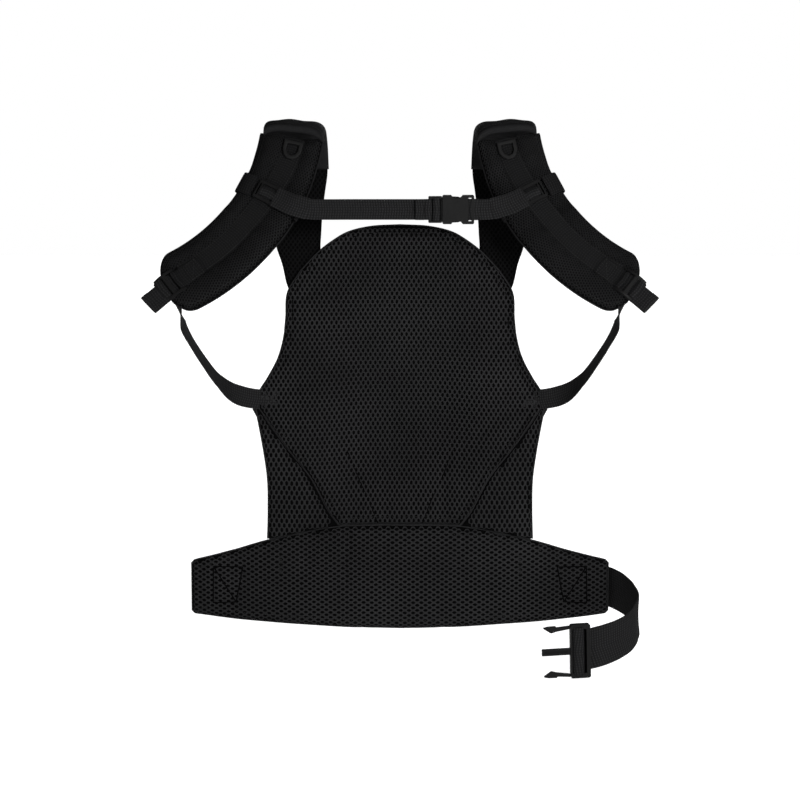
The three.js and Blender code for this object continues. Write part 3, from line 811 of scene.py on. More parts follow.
@dataclass
class Stitching:
    """Rows of stitches, in millimetres."""

    name: str
    lines: Sequence[Array]
    thread: Material
    pitch: float = 3.2
    length: float = 2.5
    width: float = 0.75

    def build(self, stitcher: Stitcher) -> Object:
        """Makes one piece from all its rows.

        Args:
            stitcher: the tree that lays the stitches.

        Returns:
            The piece.
        """
        points, edges = [], []
        for line in self.lines:
            first = len(points)
            points += (np.asarray(line) * MM).tolist()
            edges += [(first + k, first + k + 1) for k in range(len(line) - 1)]
        mesh = bpy.data.meshes.new(self.name)
        mesh.from_pydata(points, edges, [])
        made = bpy.data.objects.new(self.name, mesh)
        bpy.context.scene.collection.objects.link(made)
        stitcher.run(made, Pitch=self.pitch * MM, Length=self.length * MM, Width=self.width * MM,
                     Finish=self.thread)
        made.data.shade_smooth()
        return made


@dataclass
class Skin:
    """A perforated knit over an outline, in two flat coordinates that a function places in space."""

    name: str
    outline: Array
    place: Surface
    pitch: tuple[float, float]
    turned: bool = False
    hole: float = 0.82
    narrowing: float = 0.62
    sink: float = 0.35
    thick: float = 1.1
    inset: float = 0.8
    flip: bool = False
    narrow_axis: tuple[float, float, float] = (1, 0, 0)

    def cells(self) -> tuple[Array, Array]:
        """Staggered six-sided cells inside the outline.

        Returns:
            Flat corner points, and six corner numbers to a cell.
        """
        outline = self.outline[:, ::-1] if self.turned else self.outline
        wide, tall = self.pitch
        row = tall / 2
        low = (row * row - wide * wide / 4) / (2 * row)
        high = row - low
        x0, z0 = outline.min(0)
        x1, z1 = outline.max(0)
        i, j = np.meshgrid(np.arange(int((x1 - x0) / wide) + 2), np.arange(int((z1 - z0) / row) + 2))
        i, j = i.ravel(), j.ravel()
        centre = np.stack([x0 + wide * (i + 0.5 * (j % 2)), z0 + row * j], axis=1)
        centre = centre[inside_outline(centre[:, 0], centre[:, 1], outline)]
        closed = closed_line(outline)
        centre = centre[near_line(centre[:, 0], centre[:, 1], closed) > wide * 0.3]
        corner = np.array([[0, -high], [wide / 2, -low], [wide / 2, low], [0, high], [-wide / 2, low],
                           [-wide / 2, -low]])
        every = (centre[:, None, :] + corner).reshape(-1, 2)
        points, number = np.unique(np.round(every, 3), axis=0, return_inverse=True)
        points = self.pulled_in(points, outline)
        if self.turned:
            return points[:, ::-1], number.reshape(-1, 6)[:, ::-1]
        return points, number.reshape(-1, 6)

    def pulled_in(self, points: Array, outline: Array) -> Array:
        """Moves the corners that lie outside the outline to just inside it.

        Args:
            points: flat corner points.
            outline: the closed outline, anticlockwise or clockwise.

        Returns:
            The corner points, inside.
        """
        a, b = outline, np.roll(outline, -1, axis=0)
        ab = b - a
        area = (a[:, 0] * b[:, 1] - b[:, 0] * a[:, 1]).sum()
        inward = unit(np.stack([-ab[:, 1], ab[:, 0]], axis=1)) * np.sign(area)
        t = np.clip(((points[:, None] - a) * ab).sum(2) / np.maximum((ab * ab).sum(1), 1e-9), 0, 1)
        foot = a + ab * t[..., None]
        gap = np.linalg.norm(points[:, None] - foot, axis=2)
        best = gap.argmin(1)
        rows = np.arange(len(points))
        inside = inside_outline(points[:, 0], points[:, 1], outline)
        signed = np.where(inside, gap[rows, best], -gap[rows, best])
        moved = foot[rows, best] + inward[best] * self.inset
        return np.where((signed < self.inset)[:, None], moved, points)

    def build(self, perforator: Perforator, finish: Material) -> Object:
        """Makes the knit.

        Args:
            perforator: the tree that opens the holes.
            finish: the knit's finish.

        Returns:
            The piece, a closed mesh.
        """
        flat, cells = self.cells()
        cells = cells[:, ::-1] if self.flip else cells
        made = mesh_object(self.name, self.place(flat[:, 0], flat[:, 1]), cells, finish, smooth_angle=80)
        perforator.run(made, Sink=-self.sink * MM, Hole_size=self.hole, Hole_narrowing=self.narrowing,
                       Narrow_axis=self.narrow_axis, Finish=finish)
        solid = made.modifiers.new("Thickness", "SOLIDIFY")
        solid.thickness = self.thick * MM
        solid.offset = -1
        apply_modifiers(made)
        soften_shading(made, 75)
        return made


@dataclass
class Ribbon:
    """A strip of webbing along a middle line, with a cloth map in metres for its weave."""

    name: str
    middle: Sequence[Sequence[float]]
    across: Sequence[Sequence[float]]
    width: float
    thick: float = 1.8
    steps: int = 90
    lanes: int = 8
    wave: float = 0.12

    def rows(self) -> tuple[Array, Array, Array]:
        """The ribbon's middle points, its across directions and its normals, evenly spaced."""
        middle = smooth_path(self.middle, self.steps)
        known = np.asarray(self.middle, float)
        reach = distances(known)
        spots = distances(middle)
        spots = spots / spots[-1] * reach[-1]
        turn = unit(np.asarray(self.across, float))
        across = np.stack([np.interp(spots, reach, turn[:, k]) for k in range(3)], axis=1)
        along = unit(np.gradient(middle, axis=0))
        across = unit(across - along * (across * along).sum(1, keepdims=True))
        return middle, across, np.cross(across, along)

    def build(self, finish: Material, mirror: bool = False) -> Object:
        """Makes the strip.

        Args:
            finish: the webbing's finish.
            mirror: builds its image across the middle plane.

        Returns:
            The piece, a closed mesh.
        """
        middle, across, normal = self.rows()
        share = np.linspace(-1, 1, self.lanes + 1)
        reach = distances(middle)
        ripple = self.wave * np.sin(reach / 17.0)[:, None] * share
        ripple = ripple + self.wave * np.sin(reach / 9.0 + 1)[:, None] * 0.5
        edge = self.thick * 0.5 * (1 - 0.35 * np.abs(share) ** 8)
        base = middle[:, None] + across[:, None] * (share * self.width / 2)[None, :, None]
        front = base + normal[:, None] * (edge + ripple)[..., None]
        back = base + normal[:, None] * (ripple - edge)[..., None]
        sign = np.array([-1 if mirror else 1, 1, 1])
        made = pillow(self.name, front * sign, back * sign, finish, smooth_angle=40)
        cloth_map(made, middle * sign, across * sign, reach)
        return made


def cloth_map(made: Object, middle: Array, across: Array, reach: Array) -> None:
    """Gives a strip its cloth map: distance across and along the webbing, in metres.

    Args:
        made: the strip.
        middle: points of its middle line.
        across: unit directions across it at those points.
        reach: distance along the line at those points.
    """
    mesh = made.data
    spots = np.empty(len(mesh.vertices) * 3)
    mesh.vertices.foreach_get("co", spots)
    spots = spots.reshape(-1, 3) / MM
    nearest = ((spots[:, None] - middle[None]) ** 2).sum(2).argmin(1)
    side = ((spots - middle[nearest]) * across[nearest]).sum(1)
    where = np.stack([side, reach[nearest]], axis=1) * MM
    layer = mesh.uv_layers.new(name="Cloth")
    corner = np.empty(len(mesh.loops), dtype=int)
    mesh.loops.foreach_get("vertex_index", corner)
    layer.data.foreach_set("uv", where[corner].ravel())


def softened(node: str, finish: Material, bevel: float = 0.6, name: str | None = None) -> Object:
    """A moulded piece: the CAD node's faces with their edges rounded.

    Args:
        node: the CAD node.
        finish: its finish.
        bevel: radius of the edges, in millimetres.
        name: the piece's name, or the node's name with a word added.

    Returns:
        The piece.
    """
    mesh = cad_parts[node].data.copy()
    mesh.name = name or f"{node}_moulded"
    made = bpy.data.objects.new(mesh.name, mesh)
    bpy.context.scene.collection.objects.link(made)
    work = bmesh.new()
    work.from_mesh(mesh)
    bmesh.ops.remove_doubles(work, verts=work.verts, dist=1e-5)
    bmesh.ops.dissolve_limit(work, angle_limit=math.radians(4), verts=work.verts, edges=work.edges)
    bmesh.ops.recalc_face_normals(work, faces=work.faces)
    work.to_mesh(mesh)
    work.free()
    mesh.materials.clear()
    mesh.materials.append(finish)
    rounding = made.modifiers.new("Edges", "BEVEL")
    rounding.width = bevel * MM
    rounding.segments = 3
    rounding.limit_method = "ANGLE"
    rounding.angle_limit = math.radians(28)
    apply_modifiers(made)
    soften_shading(made, 35)
    made.modifiers.new("Flat faces stay flat", "WEIGHTED_NORMAL").keep_sharp = True
    return apply_modifiers(made)


@dataclass(frozen=True)
class Crease:
    """A fold, dart or seam drawn on a cloth surface: a line, its half width and how deep it sinks."""

    line: Line
    width: float
    depth: float

    def sink(self, p: Array, q: Array) -> Array:
        """How far the cloth sinks at each place; negative where it swells."""
        away = near_line(p, q, np.asarray(self.line, float))
        return self.depth * np.exp(-(away / self.width) ** 2)


def total_sink(creases: Sequence[Crease], p: Array, q: Array, mirrored: bool = False) -> Array:
    """Sum of several creases, and of their mirror images if asked."""
    total = np.zeros(np.shape(p))
    for crease in creases:
        total = total + crease.sink(p, q)
        if mirrored:
            total = total + crease.sink(-np.asarray(p), q)
    return total


def carrier_profile(points: Line, x: Array) -> Array:
    """Height of a symmetric outline at x, smooth between the points of its left half."""
    line = smooth_path(points, 160)
    return np.interp(-np.abs(x), line[:, 0], line[:, 1])


@dataclass(frozen=True)
class Kit:
    """Everything the sub-assemblies share: finishes and node trees."""

    knit: Material
    pad_painted_shade_knit: Material
    painted_shade_strap_knit: Material
    seam_shade_cloth: Material
    # depth: the near-black painted shade under every knit, seen down its holes
    depth: Material
    cloth: Material
    webbing: Material
    narrow_webbing: Material
    pad_painted_shade_webbing: Material
    plastic: Material
    rubber: Material
    thread: Material
    perforator: Perforator
    stitcher: Stitcher


def sew(kit: Kit, name: str, lines: Sequence[Array], width: float = 0.75) -> None:
    """Sews rows of stitches as one piece."""
    made = Stitching(name, lines, kit.thread, width=width).build(kit.stitcher)
    Piece(made, slot="webbing").place()


# ---------------------------------------------------------------- waistband


@dataclass
class Waistband:
    """The padded waistband: a curved band of foam with knit on the wearer's side and cloth outside."""

    kit: Kit
    half: float = 254.2
    flat_half: float = 24.0
    end_depth: float = 32.0
    thick: float = 14.6
    roll: float = 12.0
    roll_depth: float = 5.6
    skin_thick: float = 1.3
    webbing_ends: tuple[float, float] = (-250, 254)
    corner: float = 2.5
    hem: float = 9.0
    webbing_height: float = -24.5
    webbing_width: float = 50.0
    top: Line = ((-255, 9.5), (-203, 25), (-162, 38.5), (-108, 52.5), (-60, 59), (0, 60))
    bottom: Line = ((-255, -54.5), (-195, -59), (-121, -62.5), (-60, -65), (0, -66))
    folds: Sequence[Crease] = (
        Crease(((-66, 60), (-62, 35), (-70, 10), (-66, -8)), 6.0, 1.7),
        Crease(((73, 58), (76, 38), (69, 18), (74, -4)), 6.0, 1.5),
        Crease(((-20, 58), (-14, 44), (-20, 30)), 7.0, 1.0),
        Crease(((30, 57), (27, 42), (34, 28)), 7.0, 0.9),
        Crease(((-120, 42), (-112, 20), (-122, 0)), 9.0, 1.0),
        Crease(((118, 42), (126, 22), (116, -2)), 9.0, 1.0),
        Crease(((-210, 15), (-190, -14), (-205, -44)), 11.0, 0.9),
        Crease(((212, 12), (196, -16), (206, -42)), 11.0, 0.9),
        Crease(((-45, -62), (-40, -45), (-47, -30)), 6.0, 0.9),
        Crease(((52, -62), (46, -46), (55, -30)), 6.0, 0.9),
    )
    box: Line = ((-227, 5), (-191, 6), (-199.5, -38), (-228, -40), (-227, 5), (-199.5, -38))
    tacks: Line = ((-145, 4), (-145, 17), (145, 4), (145, 17))

    def front_depth(self, x: Array) -> Array:
        """Depth of the wearer's side at x, before rolls and folds."""
        share = np.maximum(0, np.abs(x) - self.flat_half) / (self.half - self.flat_half)
        return self.end_depth * share ** 2

    def outline(self) -> Array:
        """The band's outline with rounded corners, anticlockwise seen from +Y."""
        x = np.linspace(-self.half, self.half, 140)
        low, high = self.edges(x)
        return np.vstack([np.stack([x, low], 1), np.stack([x, high], 1)[::-1]])

    def edges(self, x: Array) -> tuple[Array, Array]:
        """Heights of the lower and upper edges at x, with the corners rounded."""
        near_end = np.minimum(1, (self.half - np.abs(x)) / self.corner)
        cut = self.corner * (1 - np.sqrt(np.maximum(0, 1 - (1 - near_end) ** 2)))
        return carrier_profile(self.bottom, x) + cut, carrier_profile(self.top, x) - cut

    def box_sink(self, x: Array, z: Array) -> Array:
        """How far the sewn boxes, tacks and hems draw the cloth in."""
        box = np.asarray(self.box, float)
        boxes = np.minimum(near_line(x, z, box), near_line(x, z, box * [-1, 1]))
        sink = 1.5 * np.exp(-(boxes / 2.4) ** 2)
        for tx, tz in self.tacks:
            sink = sink + 2.4 * np.exp(-((x - tx) ** 2 + (z - tz) ** 2) / 5.5 ** 2)
        return sink

    def surface(self, x: Array, z: Array) -> Array:
        """Depth of the cloth on the wearer's side, with its rolled edges, seams and folds."""
        edge = near_line(x, z, closed_line(self.outline()))
        seam = 1.3 * np.exp(-((edge - self.hem) / 2.2) ** 2)
        puff = -1.2 * ease(edge, self.hem, 34)
        soft = 0.5 * np.sin(x / 23 + z / 31) * ease(edge, 6, 30) + 0.35 * np.sin(x / 11.5 - z / 17)
        return (self.front_depth(x) + round_off(edge, self.roll, self.roll_depth) + seam + puff + soft
                + 1.8 * total_sink(self.folds, x, z) + self.box_sink(x, z))

    def place(self, x: Array, z: Array) -> Array:
        """Points of the wearer's side."""
        return np.stack([x, self.surface(x, z), z], axis=-1)

    def grid(self, rows: int, columns: int) -> tuple[Array, Array]:
        """Flat places over the whole band, rows up and columns across."""
        u, v = np.meshgrid(np.linspace(-1, 1, columns), np.linspace(0, 1, rows))
        x = u * self.half
        low, high = self.edges(x)
        return x, low + (high - low) * v

    def build(self) -> None:
        """Builds the band, its knit, its webbing and its stitching."""
        x, z = self.grid(74, 380)
        outline = self.outline()
        edge = near_line(x, z, closed_line(outline))
        inner = self.surface(x, z)
        front = np.stack([x, inner + self.skin_thick, z], -1)
        outer = self.front_depth(x) + self.thick - round_off(edge, self.roll, self.roll_depth)
        outer = np.maximum(outer + 0.4 * np.sin(x / 19 + z / 13), inner + self.skin_thick + 1.2)
        # the padding's face under the knit is the painted hole shade
        body = pillow("waistband_padding", front, np.stack([x, outer, z], -1), self.kit.depth, self.kit.cloth)
        nodes = ("waist_mesh", "waist_foam", "waist_shell")
        Piece(body, nodes=nodes, slot="smooth_cloth").place()
        skin = Skin("waistband_knit", outline, self.place, (6.4, 10.0), turned=True, narrow_axis=(0, 0, 1),
                    hole=0.78, narrowing=0.64)
        knit = skin.build(self.kit.perforator, self.kit.knit)
        sheet = (knit, flat_area(outline))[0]
        Piece(sheet, slot="air_mesh").place()
        line = self.place(outline[:, 0], outline[:, 1]) + [0, 1, 0]
        Piece(piping("waistband_piping", line, 1.2, self.kit.knit, True), slot="air_mesh").place()
        for side, sign in DRAWN_LEFT:
            flat = polyline(np.asarray(self.box, float) * [sign, 1], 2)
            line = self.place(flat[:, 0], flat[:, 1]) - PROUD
            # the box seam's cord is a real ridge; its near-black colour is painted shade in the seam
            seam = piping(f"{side}_box_seam", line, 0.8, self.kit.seam_shade_cloth)
            Piece(seam, slot="smooth_cloth").place()
        self.build_webbing()
        self.build_stitching()

    def build_webbing(self) -> None:
        """The wide webbing sewn along the outside of the band."""
        x = np.linspace(self.webbing_ends[0], self.webbing_ends[1], 41)
        y = self.front_depth(x) + self.thick + 1.2
        middle = np.stack([x, y, np.full_like(x, self.webbing_height)], 1)
        strip = Ribbon("waistband_webbing", middle, [(0, 0, 1)] * len(x), self.webbing_width, steps=160,
                       wave=0.05)
        Piece(strip.build(self.kit.webbing), nodes=("waist_webbing",), slot="webbing").place()

    def build_stitching(self) -> None:
        """The hem rows and the tacks."""
        x = np.linspace(-self.half + self.hem, self.half - self.hem, 240)
        rows = [(x, carrier_profile(self.bottom, x) + self.hem), (x, carrier_profile(self.top, x) - self.hem)]
        for tx, tz in self.tacks:
            rows += [(tx + np.full(6, shift), tz + np.linspace(-4, 4, 6)) for shift in (-1.1, 0, 1.1)]
        lines = [self.place(*row) - PROUD for row in rows]
        sew(self.kit, "waistband_stitching", lines)


def polyline(points: Array, step: float) -> Array:
    """Points along straight legs, at most a step apart, with the corners kept."""
    out = []
    for a, b in zip(points[:-1], points[1:]):
        count = max(2, int(np.linalg.norm(b - a) / step))
        out.append(a + (b - a) * np.linspace(0, 1, count, endpoint=False)[:, None])
    out.append(points[-1:])
    return np.vstack(out)


# ---------------------------------------------------------------- body panel


@dataclass
class Panel:
    """The body panel: knit over a cloth back, hollowed in the middle, with a hemmed border."""

    kit: Kit
    band: Waistband
    side: Line = (
        (72, 59), (85, 75), (108, 118), (137, 155), (160, 189), (171.5, 206), (170, 219), (158, 239),
        (146, 262), (139.5, 285), (136.5, 310), (134.5, 340), (119, 366))
    arch: Line = ((-119, 0), (-96, 24), (-78, 37.5), (-62, 46.5), (-35, 53), (0, 55))
    gusset_seam: Line = ((73.5, 57.5), (86, 74), (109, 117), (138, 154), (162, 188), (171, 204))
    gusset_edge: Line = ((160, 42), (159, 78), (159.5, 115), (164, 150), (174, 206))
    pouch_depth: float = 30.0
    pouch_middle: float = 190.0
    pouch_flat: float = 30.0
    pouch_half: float = 118.0
    pouch_height: float = 200.0
    hem: float = 7.5
    skin_thick: float = 1.3
    dart: Line = ((-64, 148), (-52, 118), (-38, 88), (-27, 62))
    wing_tacks: Sequence[Line] = (((-164, 202), (-147, 220.5)), ((-164, 220.5), (-147, 202)))
    folds: Sequence[Crease] = (
        Crease(((-168, 212), (-140, 205), (-112, 188), (-96, 168)), 6.0, 1.6),
        Crease(((168, 210), (142, 203), (116, 190), (98, 172)), 6.0, 1.5),
        Crease(((-150, 222), (-128, 228), (-104, 236)), 6.5, 1.3),
        Crease(((150, 222), (126, 226), (100, 238)), 6.5, 1.2),
        Crease(((-60, 64), (-48, 88), (-52, 112)), 6.5, 1.4),
        Crease(((58, 64), (50, 86), (54, 108)), 6.5, 1.3),
        Crease(((-22, 63), (-16, 80), (-22, 98)), 6.0, 1.0),
        Crease(((20, 63), (14, 82), (20, 96)), 6.0, 1.0),
        Crease(((-134, 330), (-112, 338), (-92, 352)), 7.0, 1.2),
        Crease(((132, 330), (114, 336), (90, 354)), 7.0, 1.2),
        Crease(((-70, 400), (-40, 384), (0, 380), (40, 384), (70, 400)), 10.0, 0.9),
        Crease(((-136, 290), (-118, 284), (-104, 270)), 8.0, 1.1),
        Crease(((137, 290), (120, 283), (106, 268)), 8.0, 1.0),
    )

    def depth(self, x: Array, z: Array) -> Array:
        """Depth of the inner face before seams and folds."""
        rise = np.clip((z - 50) / 150, 0, 1)
        edge = self.band.front_depth(x) * (1 - rise) + rise * (10 + 10 * np.clip((z - 200) / 220, 0, 1))
        up = np.minimum(1, np.abs(z - self.pouch_middle) / self.pouch_height)
        hollow = (1 - ease(np.abs(x), self.pouch_flat, self.pouch_half)) * np.cos(up * np.pi / 2) ** 2
        return edge + self.pouch_depth * hollow

    def spot(self, u: Array, v: Array) -> tuple[Array, Array]:
        """Flat place at shares across and up the panel."""
        line = smooth_path(self.side, 240)
        marks = np.linspace(0, 1, 240)
        side_x = np.interp(v, marks, line[:, 0])
        side_z = np.interp(v, marks, line[:, 1])
        share = 2 * u - 1
        x = share * side_x
        top = carrier_profile(self.arch, share * self.arch[0][0])
        bottom = carrier_profile(self.band.top, x) + 0.3 - carrier_profile(self.band.top, side_x)
        return x, side_z + v ** 4 * top + (1 - v) ** 3 * bottom

    def outline(self) -> Array:
        """The panel's outline: along the bottom, up the right, over the top and down the left."""
        share = np.linspace(0, 1, 60, endpoint=False)
        up = np.linspace(0, 1, 110, endpoint=False)
        legs = [self.spot(share, share * 0), self.spot(up * 0 + 1, up), self.spot(1 - share, share * 0 + 1),
                self.spot(up * 0, 1 - up)]
        return np.vstack([np.stack(leg, 1) for leg in legs])

    def relief(self, x: Array, z: Array, outline: Array) -> Array:
        """Rolled border, hem seam, darts and folds, added to the depth."""
        edge = near_line(x, z, closed_line(outline))
        low = z > carrier_profile(self.band.top, x) + 14
        hem = np.where(low, 3.0, 1.2) * np.exp(-((edge - self.hem) / 1.7) ** 2)
        swell = -1.3 * np.exp(-((edge - 3.5) / 2.6) ** 2)
        darts = total_sink([Crease(self.dart, 1.9, 2.2)], x, z, True)
        puckers = 0.28 * np.sin((x + z) / 2.7) * np.exp(-((edge - self.hem) / 5) ** 2)
        soft = 0.9 * np.sin(x / 27 + 0.6) * np.sin(z / 34 + 1.1) + 0.4 * np.sin(x / 13 + z / 21)
        wings = [Crease(line, 1.8, 1.3) for line in self.wing_tacks]
        return (round_off(edge, 6, 3.0) + hem + swell + puckers + darts + soft * ease(edge, 8, 40)
                + 1.9 * total_sink(self.folds, x, z) + total_sink(wings, x, z, True))

    def build(self) -> None:
        """Builds the padding, the knit and the stitching, then both gussets."""
        outline = self.outline()

        def place(x: Array, z: Array) -> Array:
            """Points of the panel's face."""
            return np.stack([x, self.depth(x, z) + self.relief(x, z, outline), z], -1)

        u, v = np.meshgrid(np.linspace(0, 1, 190), np.linspace(0, 1, 220))
        x, z = self.spot(u, v)
        edge = near_line(x, z, closed_line(outline))
        front = place(x, z) + [0, self.skin_thick, 0]
        rear = np.maximum(self.depth(x, z) + 6.6 - round_off(edge, 6, 2.2), front[..., 1] + 0.9)
        # the padding's face under the knit is the painted hole shade
        body = pillow("panel_padding", front, np.stack([x, rear, z], -1), self.kit.depth, self.kit.cloth)
        Piece(body, nodes=("panel_mesh", "panel_shell"), slot="smooth_cloth").place()
        skin = Skin("panel_knit", outline, place, (5.8, 10.0), hole=0.79, narrowing=0.64)
        knit = skin.build(self.kit.perforator, self.kit.knit)
        sheet = (knit, flat_area(outline))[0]
        Piece(sheet, slot="air_mesh").place()
        self.build_stitching(outline, place)
        self.build_bindings()
        self.build_hem(outline, place)
        for side, sign in DRAWN_RIGHT:
            self.build_gusset(side, sign)

    def build_stitching(self, outline: Array, place: Surface) -> None:
        """The row along the hem and the crossed tacks on the wings.

        Args:
            outline: the panel's outline.
            place: puts flat places on the panel's face.
        """
        row = inset_line(outline, self.hem)
        keep = near_line(row[:, 0], row[:, 1], closed_line(outline)) > self.hem - 1
        rows = [row[keep]]
        for _, sign in DRAWN_LEFT:
            rows += [polyline(np.array(tack, float) * [sign, 1], 3) for tack in self.wing_tacks]
        lines = [place(flat[:, 0], flat[:, 1]) - PROUD for flat in rows]
        sew(self.kit, "panel_stitching", lines)

    def build_hem(self, outline: Array, place: Surface) -> None:
        """The piping along the panel's border, and the drawn-in lines of the hem and the darts, whose
        near-black cords are painted shade.

        Args:
            outline: the panel's outline.
            place: puts flat places on the panel's face.
        """
        line = place(outline[:, 0], outline[:, 1]) + [0, 0.9, 0]
        Piece(piping("panel_piping", line, 1.1, self.kit.knit, True), slot="air_mesh").place()
        row = inset_line(outline, self.hem)[outline[:, 1] > 215]
        row = row[np.argsort(np.arctan2(row[:, 0], row[:, 1] - 250))]
        lines = [("panel_hem", row)]
        lines += [(f"{side}_dart", smooth_path(self.dart, 40) * [sign, 1]) for side, sign in DRAWN_LEFT]
        for name, line in lines:
            # the hem and dart cords are real ridges; their near-black colour is painted shade in the seams
            seam = piping(f"{name}_seam", place(line[:, 0], line[:, 1]), 0.75, self.kit.seam_shade_cloth)
            Piece(seam, slot="smooth_cloth").place()

    def build_bindings(self) -> None:
        """The binding tapes behind the seams, which close the panel to the gussets and the waistband."""
        seam = smooth_path(self.gusset_seam, 34)
        x = np.linspace(-158, 158, 70)
        sill = carrier_profile(self.band.top, x)
        runs = [("panel_sill_binding", np.stack([x, sill], 1), 5.4)]
        runs += [(f"{side}_seam_binding", seam * [sign, 1], 4.4) for side, sign in DRAWN_RIGHT]
        for name, line, sunk in runs:
            y = self.depth(line[:, 0], line[:, 1]) + sunk
            middle = np.stack([line[:, 0], y, line[:, 1]], 1)
            run = unit(np.gradient(line, axis=0))
            across = np.stack([-run[:, 1], np.zeros(len(run)), run[:, 0]], 1)
            tape = Ribbon(name, middle, across, 15, thick=1.6, steps=110, wave=0.1)
            Piece(tape.build(self.kit.cloth), slot="smooth_cloth").place()

    def build_gusset(self, side: str, sign: int) -> None:
        """The mesh gusset that fills the corner between the panel and the waistband.

        Args:
            side: left or right.
            sign: -1 for the left and 1 for the right.
        """
        seam = smooth_path(self.gusset_seam, 60)
        edge_line = smooth_path(self.gusset_edge, 60)
        u, v = np.meshgrid(np.linspace(0, 1, 40), np.arange(60))
        x = seam[v, 0] + (edge_line[v, 0] - seam[v, 0]) * u
        z = seam[v, 1] + (edge_line[v, 1] - seam[v, 1]) * u
        z = np.maximum(z, carrier_profile(self.band.top, x) + 0.8 + v / 60)
        outline = grid_border(x, z) * [sign, 1]

        def place(px: Array, pz: Array) -> Array:
            """Points of the gusset's face."""
            edge = near_line(px, pz, closed_line(outline))
            folds = 1.5 * np.sin(np.abs(px) / 9 + pz / 26) * ease(edge, 3, 18)
            rim = round_off(edge, 4, 1.6) + 1.1 * np.exp(-((edge - 7) / 1.8) ** 2)
            return np.stack([px, self.depth(px, pz) + 0.6 + rim + folds, pz], -1)

        x = x * sign
        front = place(x, z) + [0, 1.1, 0]
        rear = np.stack([x, np.maximum(self.depth(x, z) + 5.2, front[..., 1] + 0.9), z], -1)
        # the whole gusset lining is the painted hole shade
        body = pillow(f"{side}_gusset_lining", front, rear, self.kit.depth)
        Piece(body, nodes=(f"{side}_side_gusset",), slot="air_mesh").place()
        skin = Skin(f"{side}_gusset_knit", outline, place, (6.2, 11.4))
        knit = skin.build(self.kit.perforator, self.kit.knit)
        sheet = (knit, flat_area(outline))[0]
        Piece(sheet, slot="air_mesh").place()
        rim = place(x[:, -1], z[:, -1]) + [0, 0.8, 0]
        Piece(piping(f"{side}_gusset_piping", rim, 1.1, self.kit.knit), slot="air_mesh").place()


# ---------------------------------------------------------------- shoulder straps


